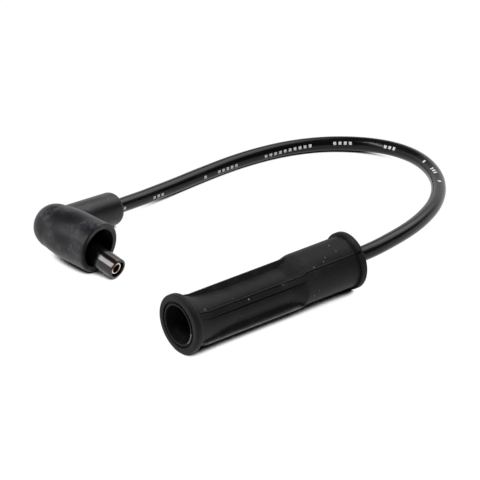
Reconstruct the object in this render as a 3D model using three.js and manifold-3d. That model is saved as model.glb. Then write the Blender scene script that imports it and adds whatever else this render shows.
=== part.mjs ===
// Spark plug wire: one silicone ignition cable with a right-angled coil connector at one end
// and a straight, ribbed spark plug boot at the other. Millimetres, +Z up.
// Layout: the plug boot lies along +X with its mouth at X = 0, and the floor is Z = 0.
// At the end the whole set is moved so that its footprint is centred on the origin.
import * as THREE from "three";
import { mergeVertices } from "three/addons/utils/BufferGeometryUtils.js";
import Module from "manifold-3d";

const wasm = await Module();
wasm.setup();

// Fits
const clearance = 0.3; // running gap between touching pieces
const roundSegments = 48; // facets round a turned shape
const smallSegments = 24; // facets round a small turned shape
const curveSteps = 6; // straight lengths in a curved outline
const cornerSteps = 4; // and in a rounded corner
const cutPast = 1; // how far a cutting shape runs past the face that it opens

// Ignition cable
const cableDiameter = 7;
const cableSides = 12;
const cableStepLength = 15;
const cableInPlugBoot = 24; // length hidden in each boot
const cableInCollar = 25.5;

// Plug boot
const plugBootLength = 96;
const plugBodyDiameter = 23.8;
const plugRimDiameter = 27.2;
const plugRimWidth = 4.4;
const plugRimCorner = 1.3;
const plugRimBackCorner = 2; // where the rim runs into the ribs
const plugFlangeDiameter = 26.6;
const plugFlangeWidth = 3;
const plugFlangeCorner = 0.9;
const plugMouthDiameter = 17.6;
const plugThroatDiameter = 14;
const plugThroatStart = 24;
const plugMouthLand = 3; // straight part of the bore at the mouth
const sealLipWidth = 0.8;
const sealGrooveWidth = 1;
const sealGrooveDepth = 1.3;
const coreDiameter = 17.2; // between the ribs
const coreFlareEnd = 30;
const shoulderStart = 63; // end of the ribs
const shoulderScoop = 6.5;
const ribDiameter = 23.5; // over the ribs
const ribWidth = 4.3;
const ribTurn = 39.5; // degrees of the front rib above the horizontal, towards -Y
const sideRibTurn = 84; // degrees from the front rib to the ribs beside it
const terminalSeat = 68; // step that the terminal's collar bears on
const notchWidth = 1.6;
const notchDepth = 1.3;

// Plug terminal and its snap ring
const terminalWall = 0.7;
const terminalWeb = 1.7;
const terminalCollarDiameter = 11.2;
const terminalCollarWidth = 1.5;
const terminalCupBore = 6.7;
const terminalCupLength = 12.5;
const snapGrooveDepth = 0.3;
const snapGrooveWidth = 1.6;
const snapRingSetback = 4; // from the cup's mouth
const snapWireDiameter = 0.9;
const snapRingOpening = 70; // degrees

// Elbow boot
const elbowHeading = -78.7; // degrees of the head's axis from +X
const elbowTilt = 4.4; // degrees that the head's mouth points down
const elbowMouth = { x: 17, y: 80.3 };
const headMouthDiameter = 23.6;
const headBackDiameter = 21.1;
const headMouthReach = 26.8; // from the corner of the elbow to the mouth
const headTaperReach = 8; // where the head starts to narrow towards its back
const headBackReach = 8.9;
const headBackRoundAlong = 9.8;
const headBackRoundAcross = 7.6;
const headMouthRound = 0.6;
const headBore = 18.2;
const headBoreDepth = 20;
const collarDiameter = 15.8;
const collarReach = 39.5;
const collarRound = 2.6;

// Connector body inside the elbow, with its contact and pin
const connectorDiameter = 9.8;
const connectorReach = 39.6; // from the corner to the open end
const connectorBehindCorner = 6;
const connectorEndRound = 0.9;
const connectorLeanGap = 0.35; // to the head's bore where the connector leans on it
const connectorSideReach = 20;
const contactDiameter = 5.6;
const contactWall = 0.6;
const contactSetback = 0.9;
const contactCupDepth = 13;
const contactSlit = 1.1;
const contactSlitTurn = 60; // degrees about the connector's axis
const contactMouthDiameter = 7.6;
const contactMouthDepth = 2.4;
const pinDiameter = 2.4;
const pinHeadThickness = 1.2;

// Derived sizes
const cableRadius = cableDiameter / 2;
const cableBore = cableDiameter + 2 * clearance;
const plugBodyRadius = plugBodyDiameter / 2;
const plugRimRadius = plugRimDiameter / 2;
const plugFlangeRadius = plugFlangeDiameter / 2;
const ribRadius = ribDiameter / 2;
const plugAxisHeight = plugRimRadius;
const barrelOuter = cableBore + 2 * terminalWall;
const barrelSeatBore = barrelOuter + 2 * clearance;
const cableEndInPlugBoot = plugBootLength - cableInPlugBoot;
const tilt = THREE.MathUtils.degToRad(elbowTilt);
const collarAxisHeight =
  (headMouthDiameter / 2) * Math.cos(tilt) + headMouthReach * Math.sin(tilt);
const collarDip = Math.asin(
  (collarAxisHeight - collarDiameter / 2) / (collarReach - collarRound),
);
const connectorDroop = Math.atan(
  ((headBore - connectorDiameter) / 2 - connectorLeanGap) / headMouthReach,
);
const sideBore = connectorDiameter + 2 * clearance;
const contactBore = contactDiameter + 2 * clearance;
const cableEndInCollar = collarReach - cableInCollar;

const degrees = THREE.MathUtils.degToRad;

// Welds a geometry's vertices and turns it into a solid that can be joined and cut.
function solid(geometry) {
  const bare = geometry.clone();
  bare.deleteAttribute("normal");
  bare.deleteAttribute("uv");
  const welded = mergeVertices(bare, 1e-4);
  const corners = [];
  for (let i = 0; i < welded.index.count; i += 3) {
    const [a, b, c] = [0, 1, 2].map((k) => welded.index.getX(i + k));
    if (a !== b && b !== c && c !== a) corners.push(a, b, c);
  }
  return new wasm.Manifold(
    new wasm.Mesh({
      numProp: 3,
      vertProperties: new Float32Array(welded.attributes.position.array),
      triVerts: new Uint32Array(corners),
    }),
  );
}

// Turns a solid back into a geometry.
function geometryOf(body) {
  const mesh = body.getMesh();
  const geometry = new THREE.BufferGeometry();
  geometry.setAttribute("position", new THREE.BufferAttribute(mesh.vertProperties, 3));
  geometry.setIndex(new THREE.BufferAttribute(mesh.triVerts, 1));
  const flat = geometry.toNonIndexed();
  flat.computeVertexNormals();
  return flat;
}

// Revolves [along, radius] pairs about +X. The outline runs from low X over the outside.
function turned(outline, segments = roundSegments) {
  const points = outline.map(([along, radius]) => new THREE.Vector2(radius, along));
  return new THREE.LatheGeometry(points, segments).rotateZ(-Math.PI / 2);
}

// A plain turned cylinder from one place on the axis to another.
function bar(from, to, radius, segments = roundSegments) {
  return turned([[from, 0], [from, radius], [to, radius], [to, 0]], segments);
}

// Points of a quarter round from one outline point to another, bulging outwards at the corner.
function quarter(from, corner, to, steps = cornerSteps) {
  return Array.from({ length: steps + 1 }, (_, i) => {
    const angle = (i / steps) * (Math.PI / 2);
    return [0, 1].map(
      (k) =>
        corner[k] +
        (from[k] - corner[k]) * (1 - Math.sin(angle)) +
        (to[k] - corner[k]) * (1 - Math.cos(angle)),
    );
  });
}

function mesh(name, geometry, color, roughness, metalness) {
  const material = new THREE.MeshStandardMaterial({ color, roughness, metalness });
  const piece = new THREE.Mesh(geometry, material);
  piece.name = name;
  return piece;
}

// Core radius between the ribs: bell shaped at the mouth, straight, then scooped at the shoulder.
function coreOutline() {
  const core = coreDiameter / 2;
  const depth = plugBodyRadius - core;
  const rise = ribRadius - core;
  const flare = Array.from({ length: curveSteps + 1 }, (_, i) => {
    const t = i / curveSteps;
    return [plugRimWidth + t * (coreFlareEnd - plugRimWidth), core + rise * (1 - t) ** 2];
  });
  const scoop = Array.from({ length: curveSteps + 1 }, (_, i) => {
    const angle = (i / curveSteps) * (Math.PI / 2);
    return [
      shoulderStart - shoulderScoop * (1 - Math.sin(angle)),
      core + depth * (1 - Math.cos(angle)),
    ];
  });
  return [...flare, ...scoop];
}

function plugBootOuter() {
  const lip = plugMouthDiameter / 2 + sealLipWidth;
  const groove = lip + sealGrooveWidth;
  const flangeFront = plugBootLength - plugFlangeWidth;
  const corner = plugRimCorner;
  const backCorner = plugRimBackCorner;
  const edge = plugFlangeCorner;
  return solid(
    turned([
      [0, 0],
      [0, lip],
      [sealGrooveDepth, lip],
      [sealGrooveDepth, groove],
      [0, groove],
      ...quarter([0, plugRimRadius - corner], [0, plugRimRadius], [corner, plugRimRadius]),
      ...quarter(
        [plugRimWidth - backCorner, plugRimRadius],
        [plugRimWidth, plugRimRadius],
        [plugRimWidth, plugRimRadius - backCorner],
      ),
      ...coreOutline(),
      [flangeFront, plugBodyRadius],
      ...quarter(
        [flangeFront, plugFlangeRadius - edge],
        [flangeFront, plugFlangeRadius],
        [flangeFront + edge, plugFlangeRadius],
        3,
      ),
      ...quarter(
        [plugBootLength - edge, plugFlangeRadius],
        [plugBootLength, plugFlangeRadius],
        [plugBootLength, plugFlangeRadius - edge],
        3,
      ),
      [plugBootLength, 0],
    ]),
  );
}

// The stepped bore: wide mouth, throat round the terminal's cup, barrel seat, cable hole.
function plugBootBore() {
  return solid(
    turned([
      [-cutPast, 0],
      [-cutPast, plugMouthDiameter / 2],
      [plugMouthLand, plugMouthDiameter / 2],
      [plugThroatStart, plugThroatDiameter / 2],
      [terminalSeat, plugThroatDiameter / 2],
      [terminalSeat, barrelSeatBore / 2],
      [plugBootLength - barrelSeatBack(), barrelSeatBore / 2],
      [plugBootLength - barrelSeatBack(), cableBore / 2],
      [plugBootLength + cutPast, cableBore / 2],
      [plugBootLength + cutPast, 0],
    ]),
  );
}

// Length of the narrow cable hole behind the terminal's barrel.
function barrelSeatBack() {
  return cableInPlugBoot / 2;
}

function ribs() {
  const from = plugRimWidth / 2;
  const to = shoulderStart + shoulderScoop / 2;
  const single = new THREE.BoxGeometry(to - from, ribWidth, ribRadius);
  single.translate((from + to) / 2, 0, ribRadius / 2);
  const round = solid(bar(from, to, ribRadius));
  const turns = [0, sideRibTurn, 180, -sideRibTurn].map((offset) =>
    solid(single.clone().rotateX(degrees(90 - ribTurn - offset))),
  );
  return turns.reduce((joined, rib) => joined.add(rib)).intersect(round);
}

// Small moulding notch in the rear flange, in line with a rib.
function flangeNotch() {
  const reach = 2 * notchDepth;
  const cutter = new THREE.BoxGeometry(2 * plugFlangeWidth, notchWidth, reach);
  cutter.translate(plugBootLength, 0, plugFlangeRadius - notchDepth + reach / 2);
  return solid(cutter.rotateX(degrees(90 - ribTurn)));
}

function plugBoot() {
  const body = plugBootOuter().add(ribs()).subtract(plugBootBore()).subtract(flangeNotch());
  return mesh("plug_boot", geometryOf(body), 0x26272a, 0.62, 0);
}

// Formed steel terminal: snap cup for the plug's nut, collar, web and crimp barrel.
function plugTerminal() {
  const cupOuter = terminalCupBore / 2 + terminalWall;
  const collarBack = terminalSeat - clearance;
  const collarFront = collarBack - terminalCollarWidth;
  const cupFront = collarFront - terminalCupLength;
  const webBack = cableEndInPlugBoot - clearance;
  const webFront = webBack - terminalWeb;
  const barrelBack = plugBootLength - barrelSeatBack() - clearance;
  const grooveFront = cupFront + snapRingSetback - snapGrooveWidth / 2;
  const grooveBack = grooveFront + snapGrooveWidth;
  const outline = [
    [webFront, 0],
    [webFront, terminalCupBore / 2],
    [cupFront, terminalCupBore / 2],
    [cupFront, cupOuter],
    [grooveFront, cupOuter],
    [grooveFront, cupOuter - snapGrooveDepth],
    [grooveBack, cupOuter - snapGrooveDepth],
    [grooveBack, cupOuter],
    [collarFront, cupOuter],
    [collarFront, terminalCollarDiameter / 2],
    [collarBack, terminalCollarDiameter / 2],
    [collarBack, barrelOuter / 2],
    [barrelBack, barrelOuter / 2],
    [barrelBack, cableBore / 2],
    [webBack, cableBore / 2],
    [webBack, 0],
  ];
  return mesh("plug_terminal", turned(outline, smallSegments), 0xb9bcc0, 0.32, 1);
}

// Open ring of spring wire that lies in the terminal's groove.
function snapRing() {
  const grooveFloor = terminalCupBore / 2 + terminalWall - snapGrooveDepth;
  const radius = grooveFloor + clearance + snapWireDiameter / 2;
  const along =
    terminalSeat - clearance - terminalCollarWidth - terminalCupLength + snapRingSetback;
  const half = degrees(snapRingOpening / 2);
  const arc = Array.from({ length: smallSegments + 1 }, (_, i) => {
    const angle = half + (i / smallSegments) * (2 * Math.PI - 2 * half);
    return new THREE.Vector3(along, radius * Math.cos(angle), radius * Math.sin(angle));
  });
  const wire = new THREE.Shape().absarc(0, 0, snapWireDiameter / 2, 0, 2 * Math.PI);
  const geometry = new THREE.ExtrudeGeometry(wire, {
    steps: smallSegments,
    curveSegments: cornerSteps * 2,
    extrudePath: new THREE.CatmullRomCurve3(arc),
  });
  return mesh("snap_ring", geometry, 0xc4c6c9, 0.28, 1);
}

// The elbow's head lies along its own +X, open at the mouth and rounded off at the back.
function elbowHead() {
  const back = headBackDiameter / 2;
  const mouth = headMouthDiameter / 2;
  return solid(
    turned([
      [-headBackReach, 0],
      ...quarter(
        [-headBackReach, back - headBackRoundAcross],
        [-headBackReach, back],
        [headBackRoundAlong - headBackReach, back],
        curveSteps,
      ),
      [headTaperReach, mouth],
      ...quarter(
        [headMouthReach - headMouthRound, mouth],
        [headMouthReach, mouth],
        [headMouthReach, mouth - headMouthRound],
        2,
      ),
      [headMouthReach, 0],
    ]),
  );
}

// Turns a shape made along +X so that it runs along the collar, sideways and slightly down.
function alongCollar(geometry) {
  return geometry.rotateZ(Math.PI / 2).rotateX(-collarDip);
}

// Turns a shape made along +X so that it droops with the connector about the collar's axis.
function alongConnector(geometry) {
  const collar = new THREE.Vector3(0, Math.cos(collarDip), -Math.sin(collarDip));
  return geometry.applyMatrix4(new THREE.Matrix4().makeRotationAxis(collar, connectorDroop));
}

function elbowBoot() {
  const radius = collarDiameter / 2;
  const collar = turned([
    [0, 0],
    [0, radius],
    ...quarter(
      [collarReach - collarRound, radius],
      [collarReach, radius],
      [collarReach, radius - collarRound],
      curveSteps,
    ),
    [collarReach, 0],
  ]);
  const sideEnd = connectorSideReach + clearance;
  const cableHole = turned([
    [0, 0],
    [0, sideBore / 2],
    [sideEnd, sideBore / 2],
    [sideEnd, cableBore / 2],
    [collarReach + cutPast, cableBore / 2],
    [collarReach + cutPast, 0],
  ]);
  const boreFloor = headMouthReach - headBoreDepth;
  const bore = bar(boreFloor, headMouthReach + cutPast, headBore / 2);
  const socketBack = -connectorBehindCorner - clearance;
  const socket = bar(socketBack, headMouthReach, connectorDiameter / 2 + clearance);
  const body = elbowHead()
    .add(solid(alongCollar(collar)))
    .subtract(solid(bore))
    .subtract(solid(alongConnector(socket)))
    .subtract(solid(alongCollar(cableHole)));
  return mesh("elbow_boot", geometryOf(body), 0x2b2b2f, 0.55, 0);
}

// Hard L-shaped moulding that holds the contact and takes the cable from the side.
function connectorBody() {
  const radius = connectorDiameter / 2;
  const leg = turned(
    [
      [-connectorBehindCorner, 0],
      [-connectorBehindCorner, radius],
      ...quarter(
        [connectorReach - connectorEndRound, radius],
        [connectorReach, radius],
        [connectorReach, radius - connectorEndRound],
      ),
      [connectorReach, 0],
    ],
    roundSegments,
  );
  const mouthFloor = connectorReach - contactMouthDepth;
  const legBore = turned(
    [
      [-contactDiameter / 2, 0],
      [-contactDiameter / 2, contactBore / 2],
      [mouthFloor, contactBore / 2],
      [mouthFloor, contactMouthDiameter / 2],
      [connectorReach + cutPast, contactMouthDiameter / 2],
      [connectorReach + cutPast, 0],
    ],
    smallSegments,
  );
  const pinSeat = cableEndInCollar - pinHeadThickness - 2 * clearance;
  const side = bar(0, connectorSideReach, radius);
  const sideHole = turned(
    [
      [0, 0],
      [0, pinDiameter / 2 + clearance],
      [pinSeat, pinDiameter / 2 + clearance],
      [pinSeat, cableBore / 2],
      [connectorSideReach + cutPast, cableBore / 2],
      [connectorSideReach + cutPast, 0],
    ],
    smallSegments,
  );
  const body = solid(alongConnector(leg))
    .add(solid(alongCollar(side)))
    .subtract(solid(alongConnector(legBore)))
    .subtract(solid(alongCollar(sideHole)));
  return mesh("connector_body", geometryOf(body), 0x141416, 0.22, 0);
}

// Copper alloy contact: a split socket at the open end and a solid shank to the corner.
function socketContact() {
  const front = connectorReach - contactSetback;
  const floor = front - contactCupDepth;
  const radius = contactDiameter / 2;
  const sleeve = turned(
    [
      [clearance - radius, 0],
      [clearance - radius, radius],
      [front, radius],
      [front, radius - contactWall],
      [floor, radius - contactWall],
      [floor, 0],
    ],
    smallSegments,
  );
  const slit = new THREE.BoxGeometry(contactCupDepth, contactSlit, 2 * contactWall);
  slit.translate(front + cutPast - contactCupDepth / 2, 0, radius - contactWall / 2);
  slit.rotateX(degrees(contactSlitTurn));
  const body = solid(alongConnector(sleeve)).subtract(solid(alongConnector(slit)));
  return mesh("socket_contact", geometryOf(body), 0xa8552f, 0.35, 1);
}

// Pin that joins the cable's core to the contact's shank.
function cablePin() {
  const tip = contactDiameter / 2 + clearance;
  const headBack = cableEndInCollar - clearance;
  const outline = [
    [tip, 0],
    [tip, pinDiameter / 2],
    [headBack - pinHeadThickness, pinDiameter / 2],
    [headBack - pinHeadThickness, cableRadius],
    [headBack, cableRadius],
    [headBack, 0],
  ];
  return mesh("cable_pin", alongCollar(turned(outline, smallSegments)), 0xc79a4b, 0.35, 1);
}

// The elbow's corner, where the axes of head and collar meet.
const heading = degrees(elbowHeading);
const elbowTurn = new THREE.Euler(0, tilt, heading, "ZYX");
const elbowCorner = new THREE.Vector3(
  elbowMouth.x - headMouthReach * Math.cos(heading) * Math.cos(tilt),
  elbowMouth.y - headMouthReach * Math.sin(heading) * Math.cos(tilt),
  collarAxisHeight,
);
const collarDirection = new THREE.Vector3(
  0,
  Math.cos(collarDip),
  -Math.sin(collarDip),
).applyEuler(elbowTurn);

// Where the free cable lies between the two boots, as [x, y, z] of its centreline.
const cableRoute = [
  [58.7, 116.3, 6.4],
  [69.5, 118.1, 5.2],
  [80.3, 119.7, 4.4],
  [91.2, 121.1, 3.8],
  [102.1, 122.2, 3.6],
  [113.1, 123.0, 3.5],
  [124.1, 123.4, 3.5],
  [135.1, 123.1, 3.5],
  [146.0, 121.9, 3.5],
  [156.8, 119.6, 3.5],
  [167.1, 115.9, 3.5],
  [176.7, 110.5, 3.6],
  [185.0, 103.2, 3.9],
  [191.3, 94.3, 4.5],
  [195.2, 84.1, 5.3],
  [196.5, 73.2, 6.1],
  [195.2, 62.3, 6.8],
  [191.7, 51.9, 7.4],
  [186.4, 42.2, 8.0],
  [179.6, 33.5, 8.7],
  [171.8, 25.9, 9.5],
  [163.1, 19.2, 10.4],
  [153.7, 13.6, 11.3],
  [143.8, 8.9, 12.1],
  [133.4, 5.2, 12.8],
  [122.8, 2.5, 13.3],
  [112.0, 0.6, 13.55],
];

function cable() {
  const fromElbow = [cableEndInCollar, (cableEndInCollar + collarReach) / 2, collarReach].map(
    (reach) => elbowCorner.clone().addScaledVector(collarDirection, reach),
  );
  const toPlugBoot = [
    plugBootLength + cableDiameter,
    plugBootLength,
    plugBootLength - cableInPlugBoot / 2,
    cableEndInPlugBoot,
  ].map((x) => new THREE.Vector3(x, 0, plugAxisHeight));
  const free = cableRoute.map(([x, y, z]) => new THREE.Vector3(x, y, z));
  const path = new THREE.CatmullRomCurve3([...fromElbow, ...free, ...toPlugBoot]);
  const section = new THREE.Shape(
    Array.from({ length: cableSides }, (_, i) => {
      const angle = (i / cableSides) * 2 * Math.PI;
      return new THREE.Vector2(cableRadius * Math.cos(angle), cableRadius * Math.sin(angle));
    }),
  );
  const geometry = new THREE.ExtrudeGeometry(section, {
    steps: Math.round(path.getLength() / cableStepLength),
    extrudePath: path,
  });
  return mesh("ignition_cable", geometry, 0x17181a, 0.38, 0);
}

const plugEnd = new THREE.Group();
plugEnd.position.set(0, 0, plugAxisHeight);
plugEnd.add(plugBoot(), plugTerminal(), snapRing());

const elbowEnd = new THREE.Group();
elbowEnd.position.copy(elbowCorner);
elbowEnd.rotation.copy(elbowTurn);
elbowEnd.add(elbowBoot(), connectorBody(), socketContact(), cablePin());

// The footprint of the two ends, without the free cable, is centred on the origin.
const ends = new THREE.Group().add(plugEnd, elbowEnd);
const footprint = new THREE.Box3().setFromObject(ends, true);
const middle = footprint.getCenter(new THREE.Vector3());

const sparkPlugWire = new THREE.Group();
const layout = new THREE.Group().add(ends, cable());
layout.position.set(-middle.x, -middle.y, -footprint.min.z);
sparkPlugWire.add(layout);

export default sparkPlugWire;
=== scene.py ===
"""Spark plug wire: the looks of an ignition cable with a ribbed plug boot and a right-angled elbow boot.

The scene is in metres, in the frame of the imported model. Sizes are written in millimetres through
mm(). Each class makes one sub-assembly of the object, or the studio that it lies in, and dresses it.
"""

import itertools
import logging
import math
from dataclasses import dataclass
from enum import Enum
from typing import Any, Iterable, Optional, Sequence, Union

import bmesh
import bpy
import numpy as np
from mathutils import Matrix, Vector


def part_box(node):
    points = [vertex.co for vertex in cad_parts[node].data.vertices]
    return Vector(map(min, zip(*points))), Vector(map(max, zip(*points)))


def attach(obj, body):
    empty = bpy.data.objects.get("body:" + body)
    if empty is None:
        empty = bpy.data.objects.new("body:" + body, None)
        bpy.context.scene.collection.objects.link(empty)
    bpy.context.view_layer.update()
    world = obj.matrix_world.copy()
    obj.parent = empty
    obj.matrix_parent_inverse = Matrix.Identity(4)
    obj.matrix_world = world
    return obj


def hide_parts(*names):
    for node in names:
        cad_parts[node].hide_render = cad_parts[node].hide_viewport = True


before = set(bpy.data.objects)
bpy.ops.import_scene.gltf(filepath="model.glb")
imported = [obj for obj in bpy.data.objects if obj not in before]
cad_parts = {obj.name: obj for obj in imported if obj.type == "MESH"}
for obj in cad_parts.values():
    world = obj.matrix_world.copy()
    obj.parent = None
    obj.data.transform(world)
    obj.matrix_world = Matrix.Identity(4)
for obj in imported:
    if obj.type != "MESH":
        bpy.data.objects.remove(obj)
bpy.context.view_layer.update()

BODY = "root"

log = logging.getLogger("spark_plug_wire")

Colour = tuple[float, float, float]
Outline = list[tuple[float, float]]


def mm(value: float) -> float:
    """Turns millimetres into metres."""
    return value * 0.001


# How far a cutting solid passes the surface that it cuts
PAST = mm(1)


def mm_point(point: Sequence[float]) -> Vector:
    """Turns a point in millimetres into a vector in metres."""
    return Vector([mm(value) for value in point])


def grey(level: float) -> Colour:
    """Gives a neutral colour of that level."""
    return (level, level, level)


# Node trees


class Value:
    """A number on a node's socket. Python's operators on it add Math nodes to its tree."""

    def __init__(self, graph: "Graph", socket: bpy.types.NodeSocket) -> None:
        """Wraps a socket.

        Args:
            graph: The tree that the socket is in.
            socket: An output that holds a number.
        """
        self.graph = graph
        self.socket = socket

    def math(self, operation: str, *others: Union["Value", float], first: Any = None) -> "Value":
        """Adds one Math node.

        Args:
            operation: The Math node's operation.
            others: What goes into its later inputs.
            first: What goes into its first input, if that isn't this value.

        Returns:
            The node's result.
        """
        given = (self if first is None else first, *others)
        node = self.graph.node("ShaderNodeMath", {"operation": operation}, dict(enumerate(given)))
        return Value(self.graph, node.outputs[0])

    def __add__(self, other: Union["Value", float]) -> "Value":
        """Adds."""
        return self.math("ADD", other)

    __radd__ = __add__

    def __mul__(self, other: Union["Value", float]) -> "Value":
        """Multiplies."""
        return self.math("MULTIPLY", other)

    __rmul__ = __mul__

    def __sub__(self, other: Union["Value", float]) -> "Value":
        """Subtracts."""
        return self.math("SUBTRACT", other)

    def __rsub__(self, other: float) -> "Value":
        """Subtracts this value from a number."""
        return self.math("SUBTRACT", self, first=other)

    def __truediv__(self, other: Union["Value", float]) -> "Value":
        """Divides."""
        return self.math("DIVIDE", other)

    def __pow__(self, other: float) -> "Value":
        """Raises to a power."""
        return self.math("POWER", other)

    def __abs__(self) -> "Value":
        """Drops the sign."""
        return self.math("ABSOLUTE")

    def clamped(self) -> "Value":
        """Holds the number between 0 and 1."""
        return self.math("MAXIMUM", 0).math("MINIMUM", 1)

    def wrapped(self, limit: float) -> "Value":
        """Wraps the number to the range from minus the limit to the limit."""
        return self.math("WRAP", limit, -limit)

    def over(self, limit: Union["Value", float]) -> "Value":
        """Gives 1 where this is more than the limit, and 0 elsewhere."""
        return self.math("GREATER_THAN", limit)

    def ramp(self, low: Any, high: Any) -> "Value":
        """Rises smoothly from 0 at low to 1 at high, and stays there."""
        node = self.graph.node(
            "ShaderNodeMapRange",
            {"interpolation_type": "SMOOTHSTEP"},
            {"Value": self, "From Min": low, "From Max": high},
        )
        return Value(self.graph, node.outputs[0])


class Graph:
    """A shader or geometry node tree, to which nodes are added by one method."""

    def __init__(self, tree: bpy.types.NodeTree) -> None:
        """Wraps a node tree.

        Args:
            tree: The tree to build in.
        """
        self.tree = tree

    def put(self, target: bpy.types.NodeSocket, given: Any) -> None:
        """Links a socket or sets its value.

        Args:
            target: The input that is fed.
            given: A Value, an output socket, or a plain number, colour or other setting.
        """
        if isinstance(given, Value):
            given = given.socket
        if isinstance(given, bpy.types.NodeSocket):
            self.tree.links.new(given, target)
        elif isinstance(target.default_value, (int, float, str, bool, bpy.types.ID, type(None))):
            target.default_value = given
        else:
            width = len(target.default_value)
            target.default_value = tuple([*given, 1.0][:width])

    def node(
        self,
        kind: str,
        settings: Optional[dict[str, Any]] = None,
        inputs: Optional[dict[Union[str, int], Any]] = None,
    ) -> bpy.types.Node:
        """Adds a node.

        Args:
            kind: The node's type name.
            settings: Its properties, which are set before its sockets.
            inputs: What goes into its sockets, by name or number.

        Returns:
            The new node.
        """
        made = self.tree.nodes.new(kind)
        for name, setting in (settings or {}).items():
            setattr(made, name, setting)
        for key, given in (inputs or {}).items():
            self.put(made.inputs[key], given)
        return made

    def value(self, kind: str, settings: dict[str, Any], inputs: dict[Any, Any], output: Any = 0) -> Value:
        """Adds a node and gives one of its outputs as a Value."""
        return Value(self, self.node(kind, settings, inputs).outputs[output])

    def mixed(self, share: Any, low: Any, high: Any) -> bpy.types.NodeSocket:
        """Mixes two colours.

        Args:
            share: How much of the second colour there is.
            low: The first colour.
            high: The second colour.

        Returns:
            The mixed colour's socket.
        """
        node = self.node("ShaderNodeMix", {"data_type": "RGBA"}, {0: share, 6: low, 7: high})
        return node.outputs[2]

    def vector(self, operation: str, *given: Any) -> bpy.types.NodeSocket:
        """Adds a Vector Math node and gives its vector."""
        node = self.node("ShaderNodeVectorMath", {"operation": operation}, dict(enumerate(given)))
        return node.outputs["Vector"]

    def measure(self, operation: str, *given: Any) -> Value:
        """Adds a Vector Math node and gives its number, such as a length or a dot product."""
        settings = {"operation": operation}
        return self.value("ShaderNodeVectorMath", settings, dict(enumerate(given)), "Value")

    def parts(self, vector: Any) -> tuple[Value, Value, Value]:
        """Splits a vector into its three numbers."""
        node = self.node("ShaderNodeSeparateXYZ", {}, {0: vector})
        return tuple(Value(self, output) for output in node.outputs)

    def joined(self, *numbers: Any) -> bpy.types.NodeSocket:
        """Joins three numbers into a vector."""
        return self.node("ShaderNodeCombineXYZ", {}, dict(enumerate(numbers))).outputs[0]


class Surface(Graph):
    """A material's node tree with a Principled shader at its end."""

    def __init__(self, name: str) -> None:
        """Makes an empty material.

        Args:
            name: The material's name.
        """
        self.material = bpy.data.materials.new(name)
        self.material.use_nodes = True
        super().__init__(self.material.node_tree)
        self.tree.nodes.clear()
        self.shader = self.node("ShaderNodeBsdfPrincipled")
        self.node("ShaderNodeOutputMaterial", {}, {"Surface": self.shader.outputs[0]})
        self.place = self.node("ShaderNodeTexCoord").outputs["Object"]

    def set(self, **sockets: Any) -> None:
        """Sets or links the shader's sockets, which are named with underscores for spaces."""
        for name, given in sockets.items():
            self.put(self.shader.inputs[name.replace("_", " ")], given)

    def noise(self, per_metre: float, detail: float = 3.0, stretch: Sequence[float] = (1, 1, 1)) -> Value:
        """Adds a noise.

        Args:
            per_metre: How many times a metre it changes.
            detail: How many finer layers it has.
            stretch: How much faster it changes along each axis.

        Returns:
            The noise, about 0.5 on average.
        """
        place = self.vector("MULTIPLY", self.place, tuple(stretch))
        inputs = {"Vector": place, "Scale": per_metre, "Detail": detail, "Roughness": 0.55}
        return self.value("ShaderNodeTexNoise", {}, inputs)

    def specks(self, per_metre: float, radius: float, kept: float) -> Value:
        """Adds scattered round specks, such as dust.

        Args:
            per_metre: How many cells a metre has, each with one speck at most.
            radius: A speck's radius in metres.
            kept: The share of the cells that have a speck.

        Returns:
            A mask that is 1 on a speck.
        """
        node = self.node("ShaderNodeTexVoronoi", {}, {"Vector": self.place, "Scale": per_metre})
        chance = self.parts(node.outputs["Color"])[0]
        edge = radius * per_metre
        inside = 1 - Value(self, node.outputs["Distance"]).ramp(edge * 0.5, edge)
        return inside * chance.over(1 - kept)

    def marks(self, places: Sequence[tuple[Vector, float]], core: float) -> Value:
        """Adds marks at given places.

        Args:
            places: The place and radius of each mark.
            core: The share of the radius inside which a mark is full.

        Returns:
            A mask that is 1 on a mark.
        """
        mask: Any = 0.0
        for place, radius in places:
            away = self.measure("DISTANCE", self.place, tuple(place))
            mask = (1 - away.ramp(radius * core, radius)) + mask
        return mask.math("MINIMUM", 1)

    def stroke(self, start: Vector, end: Vector, radius: float, core: float) -> Value:
        """Adds a straight stroke.

        Args:
            start: Where it starts.
            end: Where it ends.
            radius: How far it reaches from its middle line.
            core: The share of the radius inside which it is full.

        Returns:
            A mask that is 1 on the stroke.
        """
        run = end - start
        from_start = self.vector("SUBTRACT", self.place, tuple(start))
        across = self.vector("CROSS_PRODUCT", from_start, tuple(run.normalized()))
        away = self.measure("LENGTH", across)
        along = self.measure("DOT_PRODUCT", from_start, tuple(run / run.length_squared))
        fade = 0.03
        ends = along.ramp(0, fade) * (1 - along.ramp(1 - fade, 1))
        return (1 - away.ramp(radius * core, radius)) * ends

    def bump(self, height: Value, depth: float, under: Any = None) -> bpy.types.NodeSocket:
        """Adds a bump.

        Args:
            height: The height, from 0 to 1.
            depth: What a height of 1 measures, in metres.
            under: A bump that lies under this one.

        Returns:
            The bent normal.
        """
        inputs = {"Strength": 1.0, "Distance": depth, "Height": height}
        if under is not None:
            inputs["Normal"] = under
        return self.node("ShaderNodeBump", {}, inputs).outputs[0]


# Finishes


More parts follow.
